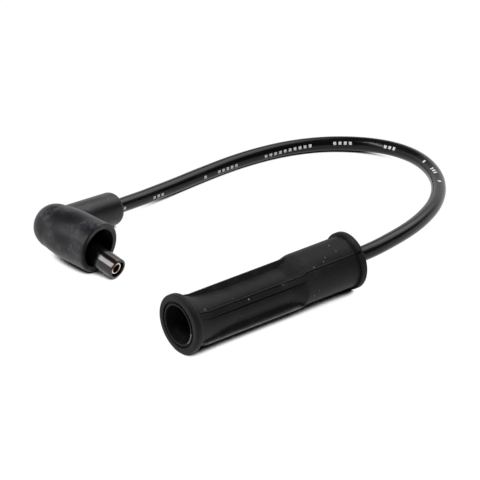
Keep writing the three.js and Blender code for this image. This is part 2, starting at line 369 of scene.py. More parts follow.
@dataclass(frozen=True)
class RubberFinish:
    """Moulded rubber: dark, with cloudy scuffs, fine grain, a little pale dust, and painted highlights and
    shade.

    Attributes:
        name: The material's name.
        dark: The clean rubber's colour.
        pale: The scuffed rubber's colour.
        cloud_scale: How many times a metre the scuffs change.
        cloud_low: The noise level at which scuffs start.
        cloud_high: The noise level at which they are full.
        roughness: The clean rubber's roughness.
        specular: How strongly it reflects.
        dust_share: The share of cells with a dust speck.
        grain_depth: The depth of the fine grain, in metres.
        dust: The dust's colour.
        worn: The colour of the painted highlight strokes.
        dust_scale: How many cells for specks a metre has.
        dust_radius: The radius of a large speck.
    """

    name: str
    dark: Colour
    pale: Colour
    cloud_scale: float
    cloud_low: float
    cloud_high: float
    roughness: float
    specular: float
    dust_share: float
    grain_depth: float = mm(0.02)
    dust: Colour = (0.34, 0.33, 0.31)
    # Colour of the painted highlight strokes
    worn: Colour = (0.2, 0.2, 0.19)
    dust_scale: float = 210.0
    dust_radius: float = mm(0.26)

    def material(
        self,
        specks: Sequence[tuple[Vector, float]] = (),
        smears: Sequence[tuple[Vector, float]] = (),
        painted_pit_shades: Sequence[tuple[Vector, float]] = (),
        painted_highlights: Sequence[tuple[Vector, Vector, float]] = (),
    ) -> bpy.types.Material:
        """Builds the material.

        Args:
            specks: The place and radius of each pale speck.
            smears: The place and radius of each soft pale smear.
            painted_pit_shades: The place and radius of each black mark painted as the shade in a small
                hollow.
            painted_highlights: The ends and the reach of each painted highlight stroke.

        Returns:
            The rubber.
        """
        surface = Surface(self.name)
        clouds = surface.noise(self.cloud_scale, 5.0).ramp(self.cloud_low, self.cloud_high)
        rubbed = clouds * surface.noise(self.cloud_scale * 6, 3.0, (1, 1, 0.5)).ramp(0.3, 0.75)
        film = surface.noise(self.cloud_scale * 0.5, 2.0).ramp(0.35, 0.8)
        scuffs = rubbed * 0.75 + film * 0.25
        large = surface.specks(self.dust_scale, self.dust_radius, self.dust_share)
        small = surface.specks(self.dust_scale * 2.6, self.dust_radius * 0.5, self.dust_share * 0.6)
        dust = large.math("MAXIMUM", small * 0.7)
        if specks:
            dust = dust.math("MAXIMUM", surface.marks(specks, 0.5))
        if smears:
            dust = dust.math("MAXIMUM", surface.marks(smears, 0.1) * clouds * 0.5)
        colour = surface.mixed(scuffs, self.dark, self.pale)
        colour = surface.mixed(dust, colour, self.dust)
        # Painted shade: black marks in small hollows
        if painted_pit_shades:
            colour = surface.mixed(surface.marks(painted_pit_shades, 0.7), colour, grey(0.0))
        # Painted highlights: light strokes laid on rib faces and lips
        for start, end, reach in painted_highlights:
            worn = surface.stroke(start, end, reach, 0.7) * (0.6 + clouds * 0.4)
            colour = surface.mixed(worn, colour, self.worn)
        grain = surface.noise(2600.0, 2.0)
        normal = surface.bump(surface.noise(180.0, 2.0), mm(0.12))
        surface.set(
            Base_Color=colour,
            Roughness=self.roughness + scuffs * 0.1 + (grain - 0.5) * 0.12,
            Normal=surface.bump(grain + dust * 2, self.grain_depth, normal),
            Specular_IOR_Level=self.specular,
        )
        return surface.material


@dataclass(frozen=True)
class JacketFinish:
    """Smooth silicone cable jacket with plain printed dashes along one side.

    It reads the attribute that the cable's nodes store: the sine and cosine of the turn from the
    printed side, and the distance along the cable in metres.

    Attributes:
        name: The material's name.
        radius: The cable's radius.
        groups: Where each run of dashes starts, and how many dashes it has.
        winding: How far the printed line turns round the cable near the elbow.
        winding_span: The distances along the cable between which that turn fades.
    """

    name: str
    radius: float
    groups: tuple[tuple[float, int], ...]
    attribute: str = "lay"
    colour: Colour = (0.004, 0.004, 0.0045)
    worn: Colour = (0.009, 0.009, 0.0095)
    ink: Colour = (0.78, 0.78, 0.76)
    pitch: float = mm(2.7)
    dash: float = mm(1.5)
    dash_height: float = mm(1.5)
    winding: float = math.radians(36)
    winding_span: tuple[float, float] = (0.11, 0.165)
    softness: float = mm(0.12)

    def printed(self, surface: Surface, across: Value, facing: Value, along: Value) -> Value:
        """Works out where the ink is.

        Args:
            surface: The material's tree.
            across: The sine of the turn from the printed side.
            facing: The cosine of that turn.
            along: The distance along the cable.

        Returns:
            A mask that is 1 on the ink.
        """
        half = self.dash_height / 2
        turn = (1 - along.ramp(*self.winding_span)) * self.winding
        sine, cosine = turn.math("SINE"), turn.math("COSINE")
        across, facing = across * cosine - facing * sine, facing * cosine + across * sine
        line = 1 - (abs(across) * self.radius).ramp(half - self.softness, half + self.softness)
        ink: Any = 0.0
        half_dash = self.dash / 2
        for start, count in self.groups:
            step = ((along - start) / self.pitch).math("FRACT") * self.pitch
            middle = abs(step - half_dash)
            bars = 1 - middle.ramp(half_dash - self.softness, half_dash + self.softness)
            end = start + count * self.pitch
            ink = along.over(start) * (1 - along.over(end)) * bars + ink
        return line * facing.over(0.0) * ink

    def material(self) -> bpy.types.Material:
        """Builds the material.

        Returns:
            The jacket.
        """
        surface = Surface(self.name)
        lay = surface.node("ShaderNodeAttribute", {"attribute_name": self.attribute})
        across, facing, along = surface.parts(lay.outputs["Vector"])
        worn_ink = surface.noise(1500.0, 2.0).ramp(0.25, 0.45) * 0.35 + 0.65
        ink = self.printed(surface, across, facing, along) * worn_ink
        rubbed = surface.noise(60.0, 4.0).ramp(0.4, 0.75)
        dust = surface.specks(260.0, mm(0.16), 0.2)
        colour = surface.mixed(rubbed, self.colour, self.worn)
        colour = surface.mixed(dust * 0.6, colour, grey(0.3))
        grain = surface.noise(2200.0, 2.0)
        surface.set(
            Base_Color=surface.mixed(ink, colour, self.ink),
            Roughness=0.2 + rubbed * 0.08 + ink * 0.2,
            Normal=surface.bump(grain + surface.noise(240.0, 2.0) * 2, mm(0.012)),
            Specular_IOR_Level=0.24,
        )
        return surface.material


@dataclass(frozen=True)
class PlasticFinish:
    """Glossy hard plastic with faint scratches along it.

    Attributes:
        name: The material's name.
        colour: Its colour.
        tint: The colour that it takes near its open end.
        roughness: Its roughness between the scratches.
    """

    name: str
    colour: Colour
    tint: Colour
    roughness: float

    def material(self, tip: Vector, reach: float) -> bpy.types.Material:
        """Builds the material.

        Args:
            tip: The middle of the open end, where the tint is strongest.
            reach: How far from the tip the tint goes.

        Returns:
            The plastic.
        """
        surface = Surface(self.name)
        near = 1 - surface.measure("DISTANCE", surface.place, tuple(tip)).ramp(reach * 0.55, reach)
        scratches = surface.noise(900.0, 2.0, (1, 0.15, 1)).ramp(0.55, 0.75)
        surface.set(
            Base_Color=surface.mixed(near, self.colour, self.tint),
            Roughness=self.roughness + scratches * 0.12,
            Normal=surface.bump(surface.noise(300.0, 2.0), mm(0.02)),
            Specular_IOR_Level=0.55,
        )
        return surface.material


@dataclass(frozen=True)
class SleeveFinish:
    """A plated metal sleeve whose end face is painted pale as a highlight and whose inside is dark red
    copper, painted darker as shade.

    Attributes:
        name: The material's name.
        face: The end face's colour, pale as a painted highlight.
        inside: The colour farther in, darker as painted shade.
        tarnish: The darkest colour of the inside.
        highlight_depth: Where the face's painted highlight starts and is full, measured out of the sleeve.
    """

    name: str
    # The pale face is a painted highlight, and the darker inside a painted shade
    face: Colour = (0.9, 0.78, 0.72)
    inside: Colour = (0.4, 0.12, 0.05)
    tarnish: Colour = (0.12, 0.02, 0.01)
    highlight_depth: tuple[float, float] = (-mm(0.5), -mm(0.12))

    def material(self, tip: Vector, axis: Vector) -> bpy.types.Material:
        """Builds the material.

        Args:
            tip: The middle of the sleeve's end face.
            axis: The direction that the sleeve's end faces.

        Returns:
            The metal.
        """
        surface = Surface(self.name)
        from_tip = surface.vector("SUBTRACT", surface.place, tuple(tip))
        # Painted highlight on the end face, painted shade farther in
        bright = surface.measure("DOT_PRODUCT", from_tip, tuple(axis)).ramp(*self.highlight_depth)
        stains = surface.noise(700.0, 3.0).ramp(0.35, 0.65)
        dull = surface.mixed(stains, self.inside, self.tarnish)
        surface.set(
            Base_Color=surface.mixed(bright, dull, self.face),
            Roughness=0.38 - bright * 0.1 + stains * 0.1,
            Normal=surface.bump(surface.noise(1800.0, 2.0), mm(0.008)),
            Metallic=1.0,
        )
        return surface.material


@dataclass(frozen=True)
class MetalFinish:
    """Bare or plated metal with a faint tarnish.

    Attributes:
        name: The material's name.
        bright: Its clean colour.
        dull: Its tarnished colour.
        roughness: Its roughness.
    """

    name: str
    bright: Colour
    dull: Colour
    roughness: float

    def material(self) -> bpy.types.Material:
        """Builds the material.

        Returns:
            The metal.
        """
        surface = Surface(self.name)
        tarnish = surface.noise(500.0, 4.0).ramp(0.35, 0.7)
        surface.set(
            Base_Color=surface.mixed(tarnish, self.bright, self.dull),
            Roughness=self.roughness + tarnish * 0.15,
            Normal=surface.bump(surface.noise(1800.0, 2.0), mm(0.008)),
            Metallic=1.0,
        )
        return surface.material


PLUG_RUBBER = RubberFinish(
    name="plug_boot_rubber",
    dark=(0.006, 0.0062, 0.006),
    pale=(0.025, 0.026, 0.025),
    cloud_scale=90.0,
    cloud_low=0.45,
    cloud_high=0.7,
    roughness=0.6,
    specular=0.22,
    dust_share=0.2,
)
ELBOW_RUBBER = RubberFinish(
    name="elbow_boot_rubber",
    dark=(0.0075, 0.0075, 0.009),
    pale=(0.075, 0.075, 0.086),
    cloud_scale=120.0,
    cloud_low=0.46,
    cloud_high=0.66,
    roughness=0.38,
    specular=0.26,
    dust_share=0.08,
)
GLOSS_BLACK = PlasticFinish("connector_plastic", (0.004, 0.004, 0.0045), (0.016, 0.006, 0.004), 0.16)
COPPER = SleeveFinish("contact_copper")
STEEL = MetalFinish("terminal_steel", grey(0.55), grey(0.38), 0.3)
SPRING = MetalFinish("spring_steel", grey(0.62), grey(0.5), 0.25)
BRASS = MetalFinish("pin_brass", (0.7, 0.5, 0.22), (0.5, 0.33, 0.12), 0.3)


# Outlines and meshes


def arc(
    centre: Sequence[float], radii: Sequence[float], start: float, end: float, steps: int
) -> Outline:
    """Gives points of an ellipse's arc.

    Args:
        centre: Its centre, along and across the axis.
        radii: Its half sizes along and across the axis.
        start: The first angle in degrees, from the along direction towards the across one.
        end: The last angle.
        steps: How many lengths the arc has.

    Returns:
        The points, the ends included.
    """
    angles = np.radians(np.linspace(start, end, steps + 1))
    return [(centre[0] + radii[0] * math.cos(a), centre[1] + radii[1] * math.sin(a)) for a in angles]


def rounded(corners: Sequence[tuple[float, float, float]], ring: bool, steps: int = 5) -> Outline:
    """Rounds the corners of an outline.

    Args:
        corners: Each corner's place along and across the axis, and its fillet's radius.
        ring: Whether the outline closes on itself.
        steps: How many lengths a fillet has.

    Returns:
        The outline's points.
    """
    points: Outline = []
    count = len(corners)
    for i, (along, across, fillet) in enumerate(corners):
        here = Vector((along, across))
        open_end = not ring and i in (0, count - 1)
        if fillet == 0 or open_end:
            points.append((along, across))
            continue
        back = Vector(corners[i - 1][:2]) - here
        ahead = Vector(corners[(i + 1) % count][:2]) - here
        half = back.angle(ahead) / 2
        cut = min(fillet / math.tan(half), back.length / 2, ahead.length / 2)
        first = here + back.normalized() * cut
        last = here + ahead.normalized() * cut
        points += [tuple(point) for point in bend(first, here, last, steps)]
    return points


def refined(outline: Outline, longest: float, ring: bool) -> Outline:
    """Splits the long stretches of an outline.

    Args:
        outline: The points.
        longest: The longest stretch that stays whole.
        ring: Whether the outline closes on itself.

    Returns:
        The outline with more points.
    """
    points: Outline = []
    ends = outline[1:] + (outline[:1] if ring else [])
    for start, end in zip(outline, ends):
        steps = max(1, math.ceil(math.dist(start, end) / longest))
        for i in range(steps):
            t = i / steps
            points.append((start[0] + (end[0] - start[0]) * t, start[1] + (end[1] - start[1]) * t))
    return points if ring else points + [outline[-1]]


def round_axis(along: float, radius: float, turn: float) -> Vector:
    """Gives a point beside the X axis. A turn of 0 faces -Y, and a quarter turn faces +Z."""
    return Vector((along, -radius * math.cos(turn), radius * math.sin(turn)))


def bend(first: Vector, corner: Vector, last: Vector, steps: int) -> list[Vector]:
    """Gives the points of a curve that leaves for a corner and turns to its last point."""
    shares = np.linspace(0, 1, steps + 1)
    return [first * (1 - t) ** 2 + corner * 2 * t * (1 - t) + last * t**2 for t in shares]


def even_turns(count: int) -> np.ndarray:
    """Gives evenly spaced turns about an axis, in radians."""
    return np.linspace(0, 2 * math.pi, count, endpoint=False)


def linked(name: str, data: bpy.types.ID) -> bpy.types.Object:
    """Makes an object of some data and links it to the scene."""
    made = bpy.data.objects.new(name, data)
    bpy.context.scene.collection.objects.link(made)
    return made


def evaluated_mesh(piece: bpy.types.Object) -> bpy.types.Mesh:
    """Gives a new mesh of what an object's modifiers make of it."""
    bpy.context.view_layer.update()
    evaluated = piece.evaluated_get(bpy.context.evaluated_depsgraph_get())
    return bpy.data.meshes.new_from_object(evaluated)


def mesh_object(
    name: str, vertices: Iterable[Sequence[float]], faces: Iterable[Sequence[int]]
) -> bpy.types.Object:
    """Makes a closed mesh object whose faces point outwards.

    Args:
        name: The object's name.
        vertices: Its points.
        faces: Its faces.

    Returns:
        The object, linked to the scene.
    """
    mesh = bpy.data.meshes.new(name)
    mesh.from_pydata([tuple(v) for v in vertices], [], [tuple(f) for f in faces])
    shape = bmesh.new()
    shape.from_mesh(mesh)
    bmesh.ops.remove_doubles(shape, verts=shape.verts, dist=mm(0.0005))
    bmesh.ops.recalc_face_normals(shape, faces=shape.faces)
    shape.to_mesh(mesh)
    shape.free()
    return linked(name, mesh)


def lattice_faces(rows: int, columns: int, ring: bool) -> list[tuple[int, int, int, int]]:
    """Gives the faces of a lattice whose columns close on themselves.

    Args:
        rows: How many rows of points it has.
        columns: How many points a row has.
        ring: Whether the last row joins the first.

    Returns:
        The faces, as numbers of points.
    """
    faces = []
    for i in range(rows if ring else rows - 1):
        here, ahead = i * columns, (i + 1) % rows * columns
        for j in range(columns):
            k = (j + 1) % columns
            faces.append((here + j, here + k, ahead + k, ahead + j))
    return faces


def turned(name: str, outline: Outline, turns: np.ndarray, ring: bool) -> bpy.types.Object:
    """Revolves an outline about the X axis. A turn of 0 faces -Y, and a quarter turn faces +Z.

    Args:
        name: The object's name.
        outline: Points along and across the axis.
        turns: The turns at which the outline stands, in radians.
        ring: Whether the outline closes on itself. Otherwise its ends lie on the axis.

    Returns:
        The turned object.
    """
    vertices = [round_axis(along, across, turn) for along, across in outline for turn in turns]
    return mesh_object(name, vertices, lattice_faces(len(outline), len(turns), ring))


def combine(base: bpy.types.Object, tool: bpy.types.Object, operation: str) -> None:
    """Joins a solid to another or cuts it away, and removes it.

    Args:
        base: The solid that is kept.
        tool: The solid that is joined or cut away.
        operation: UNION or DIFFERENCE.
    """
    modifier = base.modifiers.new("combine", "BOOLEAN")
    modifier.operation = operation
    modifier.solver = "EXACT"
    modifier.object = tool
    combined = evaluated_mesh(base)
    base.modifiers.clear()
    base.data = combined
    bpy.data.objects.remove(tool)


def finish_mesh(piece: bpy.types.Object, material: bpy.types.Material, crease: float = 32.0) -> None:
    """Smooths a piece's shading up to a crease angle in degrees, and gives it one material."""
    piece.data.shade_smooth()
    piece.data.set_sharp_from_angle(angle=math.radians(crease))
    piece.data.materials.clear()
    piece.data.materials.append(material)


def through_nodes(piece: bpy.types.Object, graph: Graph, inputs: dict[str, Any]) -> bpy.types.Object:
    """Runs a geometry node tree on an object and keeps the result as a plain mesh.

    Args:
        piece: A mesh or curve object.
        graph: The tree.
        inputs: The values of the tree's named inputs.

    Returns:
        A new mesh object of the same name.
    """
    modifier = piece.modifiers.new("shape", "NODES")
    modifier.node_group = graph.tree
    sockets = graph.tree.interface.items_tree
    identifiers = {item.name: item.identifier for item in sockets if item.in_out == "INPUT"}
    for name, value in inputs.items():
        modifier[identifiers[name]] = value
    mesh = evaluated_mesh(piece)
    name = piece.name
    piece.modifiers.remove(modifier)
    bpy.data.objects.remove(piece)
    mesh.name = name
    return linked(name, mesh)


class Shaper(Graph):
    """A geometry node tree with named inputs."""

    def __init__(self, name: str, sizes: dict[str, str]) -> None:
        """Makes a tree that takes and gives geometry.

        Args:
            name: The tree's name.
            sizes: The socket type of each named input besides the geometry.
        """
        super().__init__(bpy.data.node_groups.new(name, "GeometryNodeTree"))
        face = self.tree.interface
        face.new_socket("Geometry", in_out="INPUT", socket_type="NodeSocketGeometry")
        for size, kind in sizes.items():
            face.new_socket(size, in_out="INPUT", socket_type=kind)
        face.new_socket("Geometry", in_out="OUTPUT", socket_type="NodeSocketGeometry")
        self.given = self.node("NodeGroupInput")

    def size(self, name: str) -> Value:
        """Gives a named input as a Value."""
        return Value(self, self.given.outputs[name])

    def named(self, name: str, kind: str) -> bpy.types.NodeSocket:
        """Reads a named attribute."""
        settings = {"data_type": kind}
        return self.node("GeometryNodeInputNamedAttribute", settings, {"Name": name}).outputs[0]

    def store(self, geometry: Any, name: str, kind: str, value: Any) -> bpy.types.NodeSocket:
        """Stores a named attribute on the points."""
        settings = {"data_type": kind, "domain": "POINT"}
        inputs = {"Geometry": geometry, "Name": name, "Value": value}
        return self.node("GeometryNodeStoreNamedAttribute", settings, inputs).outputs[0]

    def close(self, geometry: Any, material: bpy.types.Material) -> None:
        """Ends the tree: makes instances real, sets the material and gives the geometry out."""
        real = self.node("GeometryNodeRealizeInstances", {}, {0: geometry}).outputs[0]
        smooth = self.node("GeometryNodeSetShadeSmooth", {}, {0: real}).outputs[0]
        dressed = self.node("GeometryNodeSetMaterial", {}, {"Geometry": smooth, "Material": material})
        self.node("NodeGroupOutput", {}, {0: dressed.outputs[0]})


# Layout


@dataclass(frozen=True)
class Layout:
    """Where the two ends lie.

    Attributes:
        plug_mouth: The middle of the plug boot's mouth. The boot's axis runs from it along +X.
        elbow_mouth: The middle of the elbow's mouth, measured from the plug boot's mouth.
        elbow_heading: The direction that the elbow's mouth faces, from +X towards +Y.
        elbow_tilt: How far the elbow's mouth points down.
        head_mouth_radius: The radius of the elbow's head at its mouth.
        head_mouth_reach: How far that mouth is from the elbow's corner.
    """

    plug_mouth: Vector
    elbow_mouth: Vector = mm_point((17.0, 80.3, 0))
    elbow_heading: float = math.radians(-78.7)
    elbow_tilt: float = math.radians(4.4)
    head_mouth_radius: float = mm(11.8)
    head_mouth_reach: float = mm(26.8)

    @classmethod
    def from_frame(cls) -> "Layout":
        """Reads the plug boot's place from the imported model.

        Returns:
            The layout.
        """
        low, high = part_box("plug_boot")
        return cls(plug_mouth=Vector((low.x, (low.y + high.y) / 2, (low.z + high.z) / 2)))

    def on_floor(self, x: float, y: float) -> Vector:
        """Gives a floor point from its millimetres from the plug boot's mouth."""
        return Vector((self.plug_mouth.x + mm(x), self.plug_mouth.y + mm(y), 0))

    def elbow(self) -> Matrix:
        """Gives the elbow's place: its origin is the corner, and its X axis points out of its mouth.

        Returns:
            The matrix from the elbow's own frame to the scene's.
        """
        turn = Matrix.Rotation(self.elbow_heading, 4, "Z") @ Matrix.Rotation(self.elbow_tilt, 4, "Y")
        mouth = self.on_floor(0, 0) + self.elbow_mouth
        mouth.z = self.head_mouth_radius * math.cos(self.elbow_tilt)
        corner = mouth - (turn @ Vector((self.head_mouth_reach, 0, 0)))
        return Matrix.Translation(corner) @ turn


# Cable


@dataclass
class Cable:
    """The ignition cable, which lies in one open bend from the elbow to the plug boot.

    Attributes:
        layout: Where the two ends lie.
        collar: The collar's axis in the scene: its start at the elbow's corner and its direction.
        collar_reach: How far the collar's end is from that corner.
        in_collar: How deep the cable goes into the collar.
        in_plug_boot: How deep it goes into the plug boot.
        step: How far apart its rings of faces are.
        route: The free cable's points, in millimetres from the plug boot's mouth.
        dashes: Where each run of printed dashes starts, in metres, and how many it has.
    """

    layout: Layout
    collar: tuple[Vector, Vector]
    collar_reach: float = mm(39.5)
    in_collar: float = mm(25.5)
    in_plug_boot: float = mm(24)
    plug_boot_length: float = mm(96)
    diameter: float = mm(7)
    sides: int = 40
    step: float = mm(1.2)
    route: tuple[tuple[float, float, float], ...] = (
        (58.7, 116.3, 6.4), (69.5, 118.1, 5.2), (80.3, 119.7, 4.4), (91.2, 121.1, 3.8),
        (102.1, 122.2, 3.6), (113.1, 123.0, 3.5), (124.1, 123.4, 3.5), (135.1, 123.1, 3.5),
        (146.0, 121.9, 3.5), (156.8, 119.6, 3.5), (167.1, 115.9, 3.5), (176.7, 110.5, 3.6),
        (185.0, 103.2, 3.9), (191.3, 94.3, 4.5), (195.2, 84.1, 5.3), (196.5, 73.2, 6.1),
        (195.2, 62.3, 6.8), (191.7, 51.9, 7.4), (186.4, 42.2, 8.0), (179.6, 33.5, 8.7),
        (171.8, 25.9, 9.5), (163.1, 19.2, 10.4), (153.7, 13.6, 11.3), (143.8, 8.9, 12.1),
        (133.4, 5.2, 12.8), (122.8, 2.5, 13.3), (112.0, 0.6, 13.55),
    )
    dashes: tuple[tuple[float, int], ...] = (
        (0.0291, 1), (0.0494, 3), (0.0832, 1), (0.092, 5), (0.1206, 10),
        (0.1578, 4), (0.1854, 3), (0.2155, 1), (0.2255, 3), (0.2415, 1),
    )

    def points(self) -> list[Vector]:
        """Gives the whole route, the stretches inside the two boots included.

        Returns:
            The points in the scene, from the elbow to the plug boot.
        """
        corner, direction = self.collar
        hidden_end = self.collar_reach - self.in_collar
        reaches = (hidden_end, (hidden_end + self.collar_reach) / 2, self.collar_reach)
        start = [corner + direction * reach for reach in reaches]
        floor = self.layout.on_floor(0, 0)
        free = [floor + mm_point(point) for point in self.route]
        length = self.plug_boot_length
        depths = (-self.diameter, 0, self.in_plug_boot / 2, self.in_plug_boot)
        end = [self.layout.plug_mouth + Vector((length - depth, 0, 0)) for depth in depths]
        return [*start, *free, *end]

    def centreline(self, spacing: float) -> list[Vector]:
        """Runs a smooth curve through the route's points.

        Args:
            spacing: About how far apart the curve's points are.

        Returns:
            The curve's points.
        """
        points = self.points()
        ends = [points[0] * 2 - points[1], *points, points[-1] * 2 - points[-2]]
        line: list[Vector] = []
        for before, start, end, after in zip(ends, ends[1:], ends[2:], ends[3:]):
            knots = [0.0]
            for a, b in ((before, start), (start, end), (end, after)):
                knots.append(knots[-1] + math.sqrt((b - a).length))
            steps = max(1, round((end - start).length / spacing))
            for i in range(steps):
                t = knots[1] + (knots[2] - knots[1]) * i / steps
                line.append(self.between((before, start, end, after), knots, t))
        return [*line, points[-1]]

    @staticmethod
    def between(points: Sequence[Vector], knots: Sequence[float], t: float) -> Vector:
        """Gives one point of a centripetal curve through four points, at knot value t."""
        level = list(points)
        for size in (1, 2):
            level = [
                (a * (knots[i + size] - t) + b * (t - knots[i])) / (knots[i + size] - knots[i])
                for i, (a, b) in enumerate(zip(level, level[1:]))
            ]
        a, b = level
        return (a * (knots[2] - t) + b * (t - knots[1])) / (knots[2] - knots[1])

    def nodes(self, material: bpy.types.Material) -> Shaper:
        """Builds the tree that sweeps the jacket and stores where its printed side is.

        Args:
            material: The jacket's material.

        Returns:
            The tree.
        """
        kinds = {"Radius": "Float", "Sides": "Int", "Step": "Float", "Print Faces": "Vector"}
        tree = Shaper("cable_jacket", {name: "NodeSocket" + kind for name, kind in kinds.items()})
        resampled = tree.node(
            "GeometryNodeResampleCurve",
            {"mode": "LENGTH"},
            {"Curve": tree.given.outputs["Geometry"], "Length": tree.size("Step")},
        )
        tangent = tree.node("GeometryNodeInputTangent").outputs[0]
        centre = tree.node("GeometryNodeInputPosition").outputs[0]
        along = tree.node("GeometryNodeSplineParameter").outputs["Length"]
        side = tree.vector("CROSS_PRODUCT", tangent, tree.given.outputs["Print Faces"])
        side = tree.vector("NORMALIZE", side)
        facing = tree.vector("CROSS_PRODUCT", side, tangent)
        curve = resampled.outputs[0]
        for name, direction in (("centre", centre), ("side", side), ("facing", facing)):
            curve = tree.store(curve, name, "FLOAT_VECTOR", direction)
        curve = tree.store(curve, "along", "FLOAT", along)
        section = tree.node(
            "GeometryNodeCurvePrimitiveCircle",
            {},
            {"Resolution": tree.size("Sides"), "Radius": tree.size("Radius")},
        )
        swept = tree.node(
            "GeometryNodeCurveToMesh",
            {},
            {"Curve": curve, "Profile Curve": section.outputs[0], "Fill Caps": True},
        )
        surface_point = tree.node("GeometryNodeInputPosition").outputs[0]
        outward = tree.vector("SUBTRACT", surface_point, tree.named("centre", "FLOAT_VECTOR"))
        outward = tree.vector("NORMALIZE", outward)
        sine = tree.measure("DOT_PRODUCT", outward, tree.named("side", "FLOAT_VECTOR"))
        cosine = tree.measure("DOT_PRODUCT", outward, tree.named("facing", "FLOAT_VECTOR"))
        lay = tree.joined(sine, cosine, tree.named("along", "FLOAT"))
        tree.close(tree.store(swept.outputs[0], "lay", "FLOAT_VECTOR", lay), material)
        return tree

    def build(self, towards: Vector) -> bpy.types.Object:
        """Args:
            towards: The direction that its printed side faces.

        Returns:
            The jacket.
        """
        line = self.centreline(mm(2))
        spline_data = bpy.data.curves.new("cable_jacket", "CURVE")
        spline_data.dimensions = "3D"
        spline = spline_data.splines.new("POLY")
        spline.points.add(len(line) - 1)
        for point, place in zip(spline.points, line):
            point.co = (*place, 1)
        curve = linked("cable_jacket", spline_data)
        material = JacketFinish("cable_silicone", self.diameter / 2, self.dashes).material()
        sizes = {
            "Radius": self.diameter / 2,
            "Sides": self.sides,
            "Step": self.step,
            "Print Faces": tuple(towards),
        }
        jacket = through_nodes(curve, self.nodes(material), sizes)
        length = sum((b - a).length for a, b in zip(line, line[1:]))
        corner, direction = self.collar
        present(jacket, "ignition_cable")
        tuple(corner + direction * self.collar_reach)
        log.info("cable: %.0f mm long", length * 1000)
        return jacket


# Plug boot


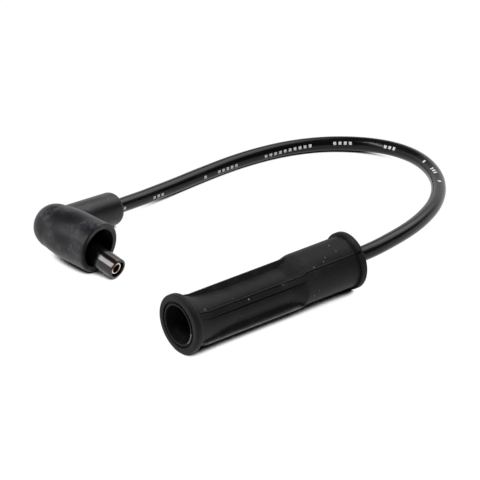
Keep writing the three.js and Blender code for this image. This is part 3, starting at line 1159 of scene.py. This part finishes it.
@dataclass
class PlugBoot:
    """The straight ribbed boot, with its terminal and snap ring inside.

    Its sizes are in metres and its turns in radians. A mark is given as its millimetres from the
    mouth, its degrees round the axis and its radius in millimetres.

    Attributes:
        layout: Where the boot lies.
        soft_edge: The fillet of the mouth's edges and of the cable hole.
        rear_drop: How much lower the marks on the rear body lie than its axis.
        specks: The pale specks.
        smears: The soft pale smears.
        painted_pit_shade: A black mark painted as the shade inside a small hollow where the parting rib
            meets the rim.
        shine_turns: The degrees round the axis between which the mouth's lip carries a painted highlight.
        painted_rib_highlight: Where the painted highlight on the lower rib's outer face starts and ends,
            and its reach, in millimetres.
    """

    layout: Layout
    length: float = mm(96)
    body_radius: float = mm(11.85)
    rib_radius: float = mm(11.75)
    rim_radius: float = mm(13.6)
    rim_width: float = mm(4.4)
    rim_corner: float = mm(1.2)
    rim_back_corner: float = mm(1.9)
    flange_radius: float = mm(13.3)
    flange_width: float = mm(3)
    flange_corner: float = mm(0.9)
    mouth_radius: float = mm(8.8)
    mouth_land: float = mm(3)
    throat_radius: float = mm(7)
    throat_start: float = mm(24)
    terminal_seat: float = mm(68)
    barrel_radius: float = mm(4.8)
    barrel_end: float = mm(84)
    cable_hole_radius: float = mm(3.75)
    soft_edge: float = mm(0.4)
    lip_edge: float = mm(0.25)
    lip_width: float = mm(0.8)
    groove_width: float = mm(1)
    groove_depth: float = mm(1.3)
    core_radius: float = mm(8.6)
    flare_end: float = mm(30)
    shoulder: float = mm(63)
    scoop: float = mm(6.5)
    rib_width: float = mm(4.3)
    rib_turn: float = math.radians(39.5)
    side_rib_turn: float = math.radians(84)
    rib_edge: float = mm(0.7)
    rib_root: float = mm(0.2)
    crease_width: float = mm(0.5)
    crease_depth: float = mm(0.6)
    parting_turn: float = math.radians(2.5)
    ridge_height: float = mm(0.2)
    ridge_width: float = mm(0.5)
    step_depth: float = mm(0.32)
    step_width: float = mm(0.55)
    tilt: float = mm(0.25)
    sag: float = mm(1.0)
    rear_drop: float = mm(0.2)
    notch_width: float = mm(1.6)
    notch_depth: float = mm(1.3)
    specks: tuple[tuple[float, float, float], ...] = (
        (83.3, 83.8, 0.32), (83.9, 63.0, 0.26), (76.8, 58.0, 0.32), (74.9, 49.8, 0.28),
        (69.0, 46.1, 0.32), (69.4, -8.7, 0.3), (66.9, -17.9, 0.36), (50.8, 39.6, 0.42),
        (31.5, 35.8, 0.45), (24.3, 50.5, 0.4), (37.1, 55.9, 0.32), (12.0, 70.0, 0.3),
    )
    smears: tuple[tuple[float, float, float], ...] = (
        (19.9, 74.2, 1.5), (43.0, 66.0, 0.9), (8.7, 49.0, 0.9),
    )
    # Black mark painted as the shade inside a small hollow
    painted_pit_shade: tuple[float, float, float] = (6.0, 38.0, 0.5)
    # Painted highlight on the mouth's inner lip
    shine_turns: tuple[float, ...] = (-42.0, -32.0, -22.0, -12.0, -2.0)
    shine_radius: float = mm(9.3)
    shine_reach: float = mm(0.55)
    # Painted highlight on the lower rib's outer face
    painted_rib_highlight: tuple[float, float, float] = (8.5, 61.5, 2.5)

    def outline(self) -> Outline:
        """Gives the boot's section without its ribs.

        Returns:
            A closed ring of points.
        """
        lip = self.mouth_radius + self.lip_width
        groove = lip + self.groove_width
        flange_start = self.length - self.flange_width
        back = self.rim_back_corner
        rim_back = arc((self.rim_width - back, self.rim_radius - back), (back, back), 90, 0, 7)
        scoop_start = self.shoulder - self.scoop
        shares = (*np.linspace(0, 0.9, 13), 0.95, 0.98, 1.0)
        scoop = [scoop_start + self.scoop * share for share in shares]
        corners = [
            (0, self.mouth_radius, self.soft_edge),
            (0, lip, self.lip_edge),
            (self.groove_depth, lip, self.lip_edge),
            (self.groove_depth, groove, self.lip_edge),
            (0, groove, self.soft_edge),
            (0, self.rim_radius, self.rim_corner),
            *((x, radius, 0) for x, radius in rim_back),
            (self.rim_width, self.rib_radius, 0),
            *((x, self.rib_radius, 0) for x in scoop),
            (self.shoulder + mm(0.3), self.body_radius, 0),
            (flange_start, self.body_radius, mm(0.3)),
            (flange_start, self.flange_radius, self.flange_corner),
            (self.length, self.flange_radius, self.flange_corner),
            (self.length, self.cable_hole_radius, self.soft_edge),
            (self.barrel_end, self.cable_hole_radius, 0),
            (self.barrel_end, self.barrel_radius, 0),
            (self.terminal_seat, self.barrel_radius, 0),
            (self.terminal_seat, self.throat_radius, 0),
            (self.throat_start, self.throat_radius, 0),
            (self.mouth_land, self.mouth_radius, 0),
        ]
        return refined(rounded(corners, ring=True), mm(0.8), ring=True)

    def turns(self) -> np.ndarray:
        """Gives the turns of the mesh's columns, close together on rib flanks and the parting line.

        Returns:
            The turns, in radians.
        """
        flank = math.degrees(math.asin(self.rib_width / 2 / self.rib_radius))
        root = math.degrees(math.asin(self.rib_width / 2 / self.core_radius))
        line = math.degrees(self.parting_turn)
        beside_line = (-5, -3.6, -2.9, -2.5, -2, -1.5, -0.9, -0.4, 0, 0.5, 1, 1.6, 2.3, 3, 4.2)
        near = [line + turn for turn in beside_line]
        edge = list(np.arange(flank - 3.2, root + 4.6, 0.42))
        both = [sign * turn for turn in edge for sign in (-1, 1)] + [-4.6, -6.2]
        beside = math.degrees(self.side_rib_turn)
        turns: list[float] = []
        clear = root + 5.4
        ribs = ((0, beside), (beside, 180 - beside), (180, 180 - beside), (-beside, beside))
        for rib, width_after in ribs:
            turns += [rib + turn for turn in both + near]
            turns += [rib + turn for turn in np.linspace(clear, width_after - clear, 22)]
        whole = sorted({round((math.degrees(self.rib_turn) + turn) % 360, 4) for turn in turns})
        return np.radians(whole)

    def sizes(self) -> dict[str, float]:
        """Gives the inputs of the tree that shapes the skin, by name."""
        plain = (
            "body_radius", "rib_radius", "core_radius", "rib_width", "rib_turn", "rib_edge", "rib_root",
            "side_rib_turn", "rim_width", "flare_end", "shoulder", "scoop", "parting_turn",
            "ridge_height", "ridge_width", "step_depth", "step_width", "notch_width", "length",
            "tilt", "sag", "crease_width", "crease_depth",
        )
        sizes = {name.replace("_", " ").title(): getattr(self, name) for name in plain}
        sizes["Notch Floor"] = self.flange_radius - self.notch_depth
        sizes["Flange Start"] = self.length - self.flange_width
        return sizes

    def nodes(self, material: bpy.types.Material) -> Shaper:
        """Builds the tree that sinks the skin between the ribs and steps it at the parting line.

        Args:
            material: The boot's material.

        Returns:
            The tree.
        """
        hair, skin_depth, wall = mm(0.01), mm(0.6), mm(2.5)
        crest_blend, above_crest = mm(3.5), mm(2)
        crease_side, crease_fade = mm(0.05), mm(8)
        sag_start, sag_end, sag_past = mm(7), mm(1.5), mm(3)
        tree = Shaper("plug_boot_ribs", {name: "NodeSocketFloat" for name in self.sizes()})
        x, y, z = tree.parts(tree.node("GeometryNodeInputPosition").outputs[0])
        radius = (y * y + z * z).math("SQRT")
        turn = z.math("ARCTAN2", y * -1)
        from_rib = turn - tree.size("Rib Turn")
        rim, shoulder, flange = (tree.size(name) for name in ("Rim Width", "Shoulder", "Flange Start"))
        body, core, rib = (tree.size(part + " Radius") for part in ("Body", "Core", "Rib"))
        on_skin = x.over(rim + hair) * (1 - x.over(flange - hair)) * radius.over(rib - skin_depth)
        flare_end = tree.size("Flare End")
        flare = (1 - (x - rim) / (flare_end - rim)).clamped()
        share = ((x - shoulder) / tree.size("Scoop") + 1).clamped()
        rise = share * 0.5 + (1 - (1 - share * share).math("SQRT")) * 0.5
        floor = core + (rib - core) * flare * flare + (body - core) * rise
        floor = floor + x.over(shoulder) * above_crest
        crest = rib + (body - rib) * x.ramp(shoulder - crest_blend, shoulder)
        half_rib = tree.size("Rib Width") / 2
        front = from_rib.wrapped(math.pi / 2)
        nearest = abs(front)
        side_turn = tree.size("Side Rib Turn")
        for side in (from_rib - side_turn, from_rib + side_turn):
            nearest = nearest.math("MINIMUM", abs(side.wrapped(math.pi)))
        sine = nearest.math("SINE")
        below = sine * floor - half_rib
        crease_width = tree.size("Crease Width")
        crease = below.ramp(-crease_side, crease_side)
        crease = crease * (1 - below.ramp(crease_width * 0.4, crease_width))
        crease = crease * (1 - front.over(0.0)) * abs(front).ramp(0.6, 0.5)
        ends = x.ramp(rim, flare_end) * (1 - x.ramp(shoulder - crease_fade, shoulder))
        floor = floor - crease * ends * tree.size("Crease Depth")
        flank = half_rib / sine.math("MAXIMUM", 0.03)
        ribbed = floor.math("SMOOTH_MAX", flank, tree.size("Rib Root"))
        ribbed = ribbed.math("SMOOTH_MIN", crest, tree.size("Rib Edge"))
        halfway = (from_rib - tree.size("Parting Turn")).wrapped(math.pi / 2)
        beside = halfway.math("SINE") * radius
        above = beside.over(hair * -2)
        ridge = (1 - beside.ramp(0.0, tree.size("Ridge Width"))) * above * tree.size("Ridge Height")
        step_width = tree.size("Step Width")
        step = beside.ramp(step_width * -1, step_width * -0.5) * (1 - above) * tree.size("Step Depth")
        skin_radius = ribbed + ridge - step
        aside = abs(from_rib.wrapped(math.pi)) * radius
        in_flange = x.over(flange - mm(0.5))
        in_notch = (1 - aside.over(tree.size("Notch Width") / 2)) * in_flange
        notched = radius.math("MINIMUM", tree.size("Notch Floor"))
        plain = radius + (notched - radius) * in_notch
        new_radius = plain + (skin_radius - plain) * on_skin
        grown = new_radius / radius
        tilted = x.ramp(rim, tree.size("Length")) * tree.size("Tilt")
        sagged = x.ramp(rim, rim + sag_start) - x.ramp(shoulder - sag_end, shoulder + sag_past)
        drop = tilted + sagged * tree.size("Sag")
        outside = radius.ramp(core - wall, core)
        moved = tree.joined(x, y * grown, z * grown - drop * outside)
        given = tree.given.outputs["Geometry"]
        shaped = tree.node("GeometryNodeSetPosition", {}, {"Geometry": given, "Position": moved})
        tree.close(shaped.outputs[0], material)
        return tree

    def spot(self, along: float, turn: float, size: float) -> tuple[Vector, float]:
        """Places a mark on the skin.

        Args:
            along: Its millimetres from the mouth.
            turn: Its degrees round the axis.
            size: Its radius in millimetres.

        Returns:
            Its place in the scene and its radius in metres.
        """
        ribbed = mm(along) < self.shoulder
        drop = self.sag if ribbed else self.rear_drop
        outer = self.rib_radius if ribbed else self.body_radius
        on_skin = round_axis(mm(along), outer, math.radians(turn)) - Vector((0, 0, drop))
        return self.layout.plug_mouth + on_skin, mm(size)

    def mouth_lip_highlight(self) -> list[tuple[Vector, Vector, float]]:
        """Places the painted highlight arc on the inner lip of the mouth, as short strokes.

        Returns:
            The ends and the reach of each stroke.
        """
        turns = [math.radians(turn) for turn in self.shine_turns]
        places = [self.layout.plug_mouth + round_axis(0, self.shine_radius, turn) for turn in turns]
        return [(start, end, self.shine_reach) for start, end in zip(places, places[1:])]

    def lower_rib_highlight(self) -> tuple[Vector, Vector, float]:
        """Places the painted highlight on the outer face of the lower rib in front.

        Returns:
            Its two ends and how far it reaches from their line.
        """
        turn = math.degrees(self.rib_turn - self.side_rib_turn)
        first, last, reach = self.painted_rib_highlight
        start, size = self.spot(first, turn, reach)
        end, _ = self.spot(last, turn, reach)
        return start, end, size

    def build(self) -> bpy.types.Object:
        """Makes the boot and dresses the pieces in it.

        Returns:
            The boot.
        """
        blank = turned("plug_boot_moulding", self.outline(), self.turns(), ring=True)
        material = PLUG_RUBBER.material(
            specks=[self.spot(*speck) for speck in self.specks],
            smears=[self.spot(*smear) for smear in self.smears],
            # Painted shade in a small hollow at the rim
            painted_pit_shades=[self.spot(*self.painted_pit_shade)],
            # Painted highlights on the lower rib's outer face and on the mouth's inner lip
            painted_highlights=[self.lower_rib_highlight(), *self.mouth_lip_highlight()],
        )
        boot = through_nodes(blank, self.nodes(material), self.sizes())
        finish_mesh(boot, material, crease=50.0)
        boot.data.transform(Matrix.Translation(self.layout.plug_mouth))
        present(boot, "plug_boot")
        for node, finish in (("plug_terminal", STEEL), ("snap_ring", SPRING)):
            dress(node, finish.material())
        return boot


def present(piece: bpy.types.Object, node: str) -> None:
    """Puts a piece that shows in place of a solid under the body, and hides that solid.

    Args:
        piece: The finished piece.
        node: The solid that it replaces.
    """
    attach(piece, BODY)
    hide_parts(node)
    log.info("%s: %d faces", piece.name, len(piece.data.polygons))


def dress(node: str, material: bpy.types.Material) -> None:
    """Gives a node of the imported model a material."""
    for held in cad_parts[node].material_slots:
        held.material = material


# Elbow


@dataclass
class Elbow:
    """The right-angled boot, with its hard connector, socket contact and pin.

    Its own frame has the corner at the origin, X out of the mouth and Z up.

    Attributes:
        layout: Where the elbow lies.
        head_widest: Where the head reaches the radius that it has at its mouth.
        connector_lean_gap: How far the drooping connector stays from the bore's wall.
        side_reach: The reach of the connector's arm into the collar.
        cable_depth: How deep the cable's hole goes into the collar and that arm.
        clearance: How much wider a hole is than what stands in it.
    """

    layout: Layout
    head_back_reach: float = mm(8.9)
    head_back_flat: float = mm(2.95)
    head_back_round: tuple[float, float] = (mm(9.8), mm(7.6))
    head_widest: float = mm(12)
    head_bore_edge: float = mm(0.35)
    head_floor_round: float = mm(0.8)
    head_mouth_round: float = mm(0.7)
    head_bore_radius: float = mm(9.1)
    head_bore_depth: float = mm(20)
    collar_radius: float = mm(7.9)
    collar_reach: float = mm(39.5)
    collar_round: float = mm(2.8)
    fillet: float = mm(1.6)
    cable_hole_radius: float = mm(3.75)
    connector_radius: float = mm(4.9)
    connector_reach: float = mm(39.6)
    connector_behind: float = mm(6)
    connector_round: float = mm(0.9)
    connector_lean_gap: float = mm(0.35)
    side_reach: float = mm(20)
    contact_radius: float = mm(2.8)
    contact_wall: float = mm(0.6)
    contact_setback: float = mm(0.9)
    contact_depth: float = mm(13)
    contact_slit: float = mm(1.1)
    contact_slit_turn: float = math.radians(60)
    contact_mouth_radius: float = mm(3.8)
    contact_mouth_depth: float = mm(2.4)
    clearance: float = mm(0.3)
    cable_depth: float = mm(27.3)
    pin_hole_radius: float = mm(1.5)
    segments: int = 128

    @property
    def place(self) -> Matrix:
        """The elbow's place in the scene."""
        return self.layout.elbow()

    @property
    def dip(self) -> float:
        """How far the collar dips, so that its end touches the floor."""
        height = self.place.translation.z - self.collar_radius
        return math.asin(height / (self.collar_reach - mm(2.6)))

    @property
    def droop(self) -> float:
        """How far the connector droops in the head's bore."""
        room = self.head_bore_radius - self.connector_radius - self.connector_lean_gap
        return math.atan(room / self.layout.head_mouth_reach)

    @property
    def collar_direction(self) -> Vector:
        """The collar's direction in the elbow's own frame."""
        return Vector((0, math.cos(self.dip), -math.sin(self.dip)))

    def collar_axis(self) -> tuple[Vector, Vector]:
        """Gives the collar's axis in the scene: its start and its direction."""
        return self.place.translation.copy(), self.place.to_3x3() @ self.collar_direction

    def along_collar(self) -> Matrix:
        """Gives the turn from the X axis to the collar's direction."""
        return Matrix.Rotation(-self.dip, 4, "X") @ Matrix.Rotation(math.pi / 2, 4, "Z")

    def along_connector(self) -> Matrix:
        """Gives the turn from the X axis to the connector's direction."""
        return Matrix.Rotation(self.droop, 4, self.collar_direction)

    def head_outer(self) -> Outline:
        """Gives the head's outer outline, from the axis at its back to its mouth's outer edge.

        Returns:
            The points.
        """
        along, across = self.head_back_round
        centre = (along - self.head_back_reach, self.head_back_flat)
        dome = arc(centre, (along, across), 180, 90, 14)
        mouth = self.layout.head_mouth_radius
        back, width = dome[-1]
        steps = 6
        shoulder = []
        for i in range(1, steps + 1):
            t = i / steps
            rise = 1 - (1 - t) ** 2
            shoulder.append((back + (self.head_widest - back) * t, width + (mouth - width) * rise))
        return [(-self.head_back_reach, 0), *dome, *shoulder]

    def head_radius_at(self, x: float) -> float:
        """Gives the head's outer radius at a place along its axis."""
        along, across = zip(*self.head_outer())
        return float(np.interp(x, along, across))

    def head(self) -> bpy.types.Object:
        """Makes the head with its bore.

        Returns:
            The head, in the elbow's own frame.
        """
        mouth = self.layout.head_mouth_radius
        reach = self.layout.head_mouth_reach
        floor = reach - self.head_bore_depth
        front = rounded(
            [
                (self.head_widest, mouth, 0),
                (reach, mouth, self.head_mouth_round),
                (reach, self.head_bore_radius, self.head_bore_edge),
                (floor, self.head_bore_radius, self.head_floor_round),
                (floor, 0, 0),
            ],
            ring=False,
        )
        outline = refined([*self.head_outer(), *front[1:]], mm(1.0), ring=False)
        return turned("elbow_boot_moulding", outline, even_turns(self.segments), ring=False)

    def reach_of_head(self, x: float, aside: float) -> float:
        """Finds where a line along the collar leaves the head.

        Args:
            x: The line's place along the head's axis.
            aside: Its height over the collar's axis.

        Returns:
            The reach along the collar at which it crosses the head's surface.
        """
        up = Vector((0, math.sin(self.dip), math.cos(self.dip)))
        low, high = 0.0, mm(20)
        for _ in range(40):
            middle = (low + high) / 2
            point = up * aside + self.collar_direction * middle
            if math.hypot(point.y, point.z) < self.head_radius_at(x):
                low = middle
            else:
                high = middle
        return (low + high) / 2

    def collar(self) -> bpy.types.Object:
        """Makes the collar, which flows into the head through a fillet.

        Returns:
            The collar, in the elbow's own frame.
        """
        turns = even_turns(self.segments)
        corners = [
            (0, self.collar_radius, 0),
            (self.collar_reach, self.collar_radius, self.collar_round),
            (self.collar_reach, 0, 0),
        ]
        _, *end, tip = rounded(corners, ring=False, steps=10)
        columns = [self.fillet_column(turn, 8) for turn in turns]
        hidden, inside = 0.6, mm(2)
        rows = [[Vector((mm(1), 0, 0))] * len(turns)]
        rows.append([Vector((inside, foot.y * hidden, foot.z * hidden)) for foot, *_ in columns])
        rows += [list(row) for row in zip(*columns)]
        straight = 26
        for i in range(1, straight + 1):
            row = []
            for column, turn in zip(columns, turns):
                start = column[-1].x
                reach = start + (end[0][0] - start) * i / straight
                row.append(round_axis(reach, self.collar_radius, turn))
            rows.append(row)
        for reach, radius in end[1:]:
            rows.append([round_axis(reach, radius, turn) for turn in turns])
        rows.append([Vector((*tip, 0))] * len(turns))
        vertices = [point for row in rows for point in row]
        made = mesh_object("collar", vertices, lattice_faces(len(rows), len(turns), ring=False))
        made.data.transform(self.along_collar())
        return made

    def fillet_column(self, turn: float, steps: int) -> list[Vector]:
        """Gives the fillet's points at one turn, from the head's surface to the collar's.

        Args:
            turn: The turn about the collar.
            steps: How many lengths the fillet has.

        Returns:
            The points, for a collar along X.
        """
        toward_mouth = math.cos(turn)
        upward = math.sin(turn)
        at_back = 0.44
        size = self.fillet * ((1 + at_back) / 2 + (1 - at_back) / 2 * toward_mouth)
        inner, outer = self.collar_radius, self.collar_radius + size
        edge = self.reach_of_head(inner * toward_mouth, inner * upward)
        foot = self.reach_of_head(outer * toward_mouth, outer * upward) - mm(0.03)
        first = round_axis(foot, outer, turn)
        return bend(first, round_axis(edge, inner, turn), round_axis(edge + size, inner, turn), steps)

    def rod(
        self, name: str, start: float, end: float, radius: float, place: Matrix
    ) -> bpy.types.Object:
        """Makes a plain cylinder for cutting and joining.

        Args:
            name: The object's name.
            start: Where it starts on the X axis.
            end: Where it ends.
            radius: Its radius.
            place: The matrix that it is placed by.

        Returns:
            The cylinder.
        """
        outline = [(start, 0), (start, radius), (end, radius), (end, 0)]
        made = turned(name, outline, even_turns(64), ring=False)
        made.data.transform(place)
        return made

    def boot(self) -> bpy.types.Object:
        """Makes the rubber boot.

        Returns:
            The boot, in the elbow's own frame.
        """
        boot = self.head()
        combine(boot, self.collar(), "UNION")
        socket_radius = self.connector_radius + self.clearance
        behind = -self.connector_behind - self.clearance
        cuts = (
            (0, self.side_reach + self.clearance, socket_radius, self.along_collar()),
            (0, self.collar_reach + PAST, self.cable_hole_radius, self.along_collar()),
            (behind, self.layout.head_mouth_reach, socket_radius, self.along_connector()),
        )
        for start, end, radius, place in cuts:
            combine(boot, self.rod("cut", start, end, radius, place), "DIFFERENCE")
        return boot

    def connector(self) -> bpy.types.Object:
        """Makes the hard connector.

        Returns:
            The connector, in the elbow's own frame.
        """
        bore = self.contact_radius + self.clearance
        floor = self.connector_reach - self.contact_mouth_depth
        outline = rounded(
            [
                (-self.connector_behind, 0, 0),
                (-self.connector_behind, self.connector_radius, mm(0.5)),
                (self.connector_reach, self.connector_radius, self.connector_round),
                (self.connector_reach, self.contact_mouth_radius, mm(0.25)),
                (floor, self.contact_mouth_radius, mm(0.2)),
                (floor, bore, mm(0.15)),
                (-self.contact_radius, bore, 0),
                (-self.contact_radius, 0, 0),
            ],
            ring=False,
        )
        outline = refined(outline, mm(2), ring=False)
        leg = turned("connector_tube", outline, even_turns(96), ring=False)
        leg.data.transform(self.along_connector())
        side = self.rod("side", 0, self.side_reach, self.connector_radius, self.along_collar())
        combine(leg, side, "UNION")
        cable_end = self.collar_reach - self.cable_depth
        cuts = (
            (0, cable_end, self.pin_hole_radius, self.along_collar()),
            (cable_end, self.side_reach + PAST, self.cable_hole_radius, self.along_collar()),
            (-self.contact_radius, floor, bore, self.along_connector()),
        )
        for start, end, radius, place in cuts:
            combine(leg, self.rod("cut", start, end, radius, place), "DIFFERENCE")
        return leg

    def contact(self) -> bpy.types.Object:
        """Makes the split socket contact.

        Returns:
            The contact, in the elbow's own frame.
        """
        front = self.connector_reach - self.contact_setback
        floor = front - self.contact_depth
        inner = self.contact_radius - self.contact_wall
        outline = rounded(
            [
                (self.clearance - self.contact_radius, 0, 0),
                (self.clearance - self.contact_radius, self.contact_radius, mm(0.2)),
                (front, self.contact_radius, mm(0.18)),
                (front, inner, mm(0.18)),
                (floor, inner, 0),
                (floor, 0, 0),
            ],
            ring=False,
        )
        outline = refined(outline, mm(2), ring=False)
        sleeve = turned("contact_sleeve", outline, even_turns(72), ring=False)
        middle = self.contact_radius - self.contact_wall / 2
        spans = (
            (floor + PAST, front + PAST),
            (-self.contact_slit / 2, self.contact_slit / 2),
            (middle - self.contact_wall, middle + self.contact_wall),
        )
        faces = [(0, 1, 3, 2), (4, 6, 7, 5), (0, 4, 5, 1), (2, 3, 7, 6), (0, 2, 6, 4), (1, 5, 7, 3)]
        slit = mesh_object("slit", itertools.product(*spans), faces)
        slit.data.transform(Matrix.Rotation(self.contact_slit_turn, 4, "X"))
        combine(sleeve, slit, "DIFFERENCE")
        sleeve.data.transform(self.along_connector())
        return sleeve

    def build(self) -> list[bpy.types.Object]:
        """Makes and dresses the elbow's pieces.

        Returns:
            The pieces.
        """
        tip = self.place @ (self.along_connector() @ Vector((self.connector_reach, 0, 0)))
        axis = (self.place.to_3x3() @ self.along_connector().to_3x3()) @ Vector((1, 0, 0))
        sleeve_end = tip - axis * self.contact_setback
        made = (
            (self.boot(), ELBOW_RUBBER.material(), "elbow_boot", "elbow_boot_rubber"),
            (self.connector(), GLOSS_BLACK.material(tip, mm(8)), "connector_body", "connector_plastic"),
            (self.contact(), COPPER.material(sleeve_end, axis), "socket_contact", "contact_copper"),
        )
        for piece, material, node, slot in made:
            finish_mesh(piece, material)
            piece.data.transform(self.place)
            present(piece, node)
        dress("cable_pin", BRASS.material())
        return [piece for piece, *_ in made]


# Studio


@dataclass(frozen=True)
class Lamp:
    """A soft rectangular lamp.

    Attributes:
        name: Its name.
        direction: Where it stands, seen from the object.
        distance: How far away it is.
        size: Its width and height.
        power: Its power in watts.
        mirrored: Whether it shows in reflections.
    """

    name: str
    direction: tuple[float, float, float]
    distance: float
    size: tuple[float, float]
    power: float
    mirrored: bool = True

    def build(self, centre: Vector) -> bpy.types.Object:
        """Makes the lamp.

        Args:
            centre: What it points at.

        Returns:
            The lamp.
        """
        data = bpy.data.lights.new(self.name, "AREA")
        data.shape = "RECTANGLE"
        data.size, data.size_y = self.size
        data.energy = self.power
        lamp = linked(self.name, data)
        lamp.visible_glossy = self.mirrored
        towards = Vector(self.direction).normalized()
        lamp.location = centre + towards * self.distance
        lamp.rotation_euler = towards.to_track_quat("Z", "Y").to_euler()
        return lamp


class FloorLook(Enum):
    """The floor's colour where it lights the object, and where a camera or a reflection sees it."""

    LIT = 0.7
    SEEN = 0.03


@dataclass(frozen=True)
class SkyPatch:
    """A soft bright patch of the studio's sky.

    Attributes:
        direction: Where its middle is.
        inner: The angle from its middle at which it starts to fade, in degrees.
        outer: The angle at which it has faded.
        level: Its brightness.
    """

    direction: tuple[float, float, float]
    inner: float
    outer: float
    level: float

    def brightness(self, graph: Graph, view: bpy.types.NodeSocket) -> Value:
        """Adds the nodes that give its brightness in a direction."""
        middle = tuple(Vector(self.direction).normalized())
        near = graph.measure("DOT_PRODUCT", view, middle)
        outer, inner = (math.cos(math.radians(angle)) for angle in (self.outer, self.inner))
        return near.ramp(outer, inner) * self.level


@dataclass
class Studio:
    """The pale floor, the lamps and the camera.

    Attributes:
        layout: Where the object lies.
        heading: The camera's direction, from +Y towards +X.
        elevation: How far it looks down.
        focal_pixels: Its focal length in the photograph's pixels.
        aim: The floor point that it looks at, in millimetres from the plug boot's mouth.
        painted_floor_shadow: The openness at which the floor's glow starts and is full; closer in, the
            glow fades as painted shadow.
        shade_reach: How far from the object the floor's painted shadow reaches.
        horizon: The heights between which the sky's bright rim fades.
        backdrop: The heights between which the backdrop fades.
        backdrop_side: How far behind the object it starts and is full.
    """

    layout: Layout
    heading: float = math.radians(38.43)
    elevation: float = math.radians(28.0)
    distance: float = mm(1422.6)
    focal_pixels: float = 3089.45
    frame_pixels: float = 480.0
    sensor: float = 36.0
    aim: tuple[float, float] = (85.15, 64.29)
    floor_half: float = 30.0
    floor_level: float = -mm(0.05)
    # Openness range of the painted shadow on the floor
    painted_floor_shadow: tuple[float, float] = (0.185, 0.33)
    shade_reach: float = mm(90)
    sky_level: float = 0.04
    horizon: tuple[float, float] = (0.08, 0.14)
    backdrop: tuple[float, float] = (0.34, 0.5)
    backdrop_side: tuple[float, float] = (-0.05, 0.3)
    patches: tuple[SkyPatch, ...] = (SkyPatch((0.66, 0.12, 0.74), 14.0, 30.0, 3.2),)

    @property
    def forward(self) -> Vector:
        """The direction that the camera looks in."""
        level = math.cos(self.elevation)
        return Vector(
            (math.sin(self.heading) * level, math.cos(self.heading) * level, -math.sin(self.elevation))
        )

    def camera(self) -> bpy.types.Object:
        """Makes the camera at the photograph's angle.

        Returns:
            The camera.
        """
        data = bpy.data.cameras.new("camera")
        data.sensor_width = self.sensor
        data.lens = self.sensor * self.focal_pixels / self.frame_pixels
        data.clip_end = 100
        camera = linked("camera", data)
        camera.location = self.layout.on_floor(*self.aim) - self.forward * self.distance
        camera.rotation_euler = self.forward.to_track_quat("-Z", "Y").to_euler()
        bpy.context.scene.camera = camera
        return camera

    def floor(self) -> bpy.types.Object:
        """Makes the floor, whose white is an emission glow that ambient occlusion takes away close to what
        lies on it: a painted shadow over a faint real one.

        Returns:
            The floor.
        """
        half, level = self.floor_half, self.floor_level
        corners = [(-half, -half, level), (half, -half, level), (half, half, level), (-half, half, level)]
        mesh = bpy.data.meshes.new("floor")
        mesh.from_pydata(corners, [], [(0, 1, 2, 3)])
        floor = linked("floor", mesh)
        surface = Surface("floor_paper")
        path = surface.node("ShaderNodeLightPath")
        seen = Value(surface, path.outputs["Is Camera Ray"])
        for ray in ("Is Glossy Ray", "Is Transmission Ray"):
            seen = seen.math("MAXIMUM", Value(surface, path.outputs[ray]))
        looks = [grey(look.value) for look in (FloorLook.LIT, FloorLook.SEEN)]
        # Painted shadow: ambient occlusion near the object takes the floor's glow away
        open_sky = surface.value(
            "ShaderNodeAmbientOcclusion", {"samples": 48}, {"Distance": self.shade_reach}, "AO"
        )
        glow = seen * open_sky.ramp(*self.painted_floor_shadow)
        surface.set(
            Base_Color=surface.mixed(seen, *looks),
            Emission_Color=surface.mixed(glow, grey(0.0), grey(1.0)),
            Emission_Strength=1.0,
            Roughness=1.0,
            Specular_IOR_Level=0.0,
        )
        mesh.materials.append(surface.material)
        return floor

    def world(self) -> None:
        """Makes the sky: dim, with a white backdrop behind the object and softboxes above."""
        world = bpy.data.worlds.new("studio")
        world.use_nodes = True
        bpy.context.scene.world = world
        graph = Graph(world.node_tree)
        graph.tree.nodes.clear()
        view = graph.node("ShaderNodeTexCoord").outputs["Generated"]
        _, behind, height = graph.parts(view)
        level = (1 - height.ramp(*self.horizon)).math("MAXIMUM", self.sky_level)
        backdrop = (1 - height.ramp(*self.backdrop)) * behind.ramp(*self.backdrop_side)
        level = level.math("MAXIMUM", backdrop)
        for patch in self.patches:
            level = level.math("MAXIMUM", patch.brightness(graph, view))
        light = graph.node("ShaderNodeBackground", {}, {"Color": (1.0, 1.0, 1.0), "Strength": level})
        graph.node("ShaderNodeOutputWorld", {}, {"Surface": light.outputs[0]})

    def lamps(self) -> list[bpy.types.Object]:
        """Makes the lamps.

        Returns:
            The lamps.
        """
        centre = self.layout.on_floor(*self.aim)
        wanted = (
            Lamp("left_softbox", (-0.708, 0.216, 0.673), 1.1, (0.24, 0.8), 6.5),
            Lamp("top_fill", (-0.1, -0.2, 0.97), 2.0, (1.2, 1.2), 12.0, mirrored=False),
        )
        return [lamp.build(centre) for lamp in wanted]

    def build(self) -> None:
        """Makes the whole studio."""
        self.camera()
        self.world()
        self.floor()
        self.lamps()
        bpy.context.scene.view_settings.view_transform = "Standard"


def main() -> None:
    """Builds the studio and the object."""
    logging.basicConfig(level=logging.INFO)
    layout = Layout.from_frame()
    studio = Studio(layout)
    studio.build()
    elbow = Elbow(layout)
    Cable(layout, elbow.collar_axis()).build(towards=-studio.forward)
    PlugBoot(layout).build()
    elbow.build()


if __name__ == "__main__":
    main()
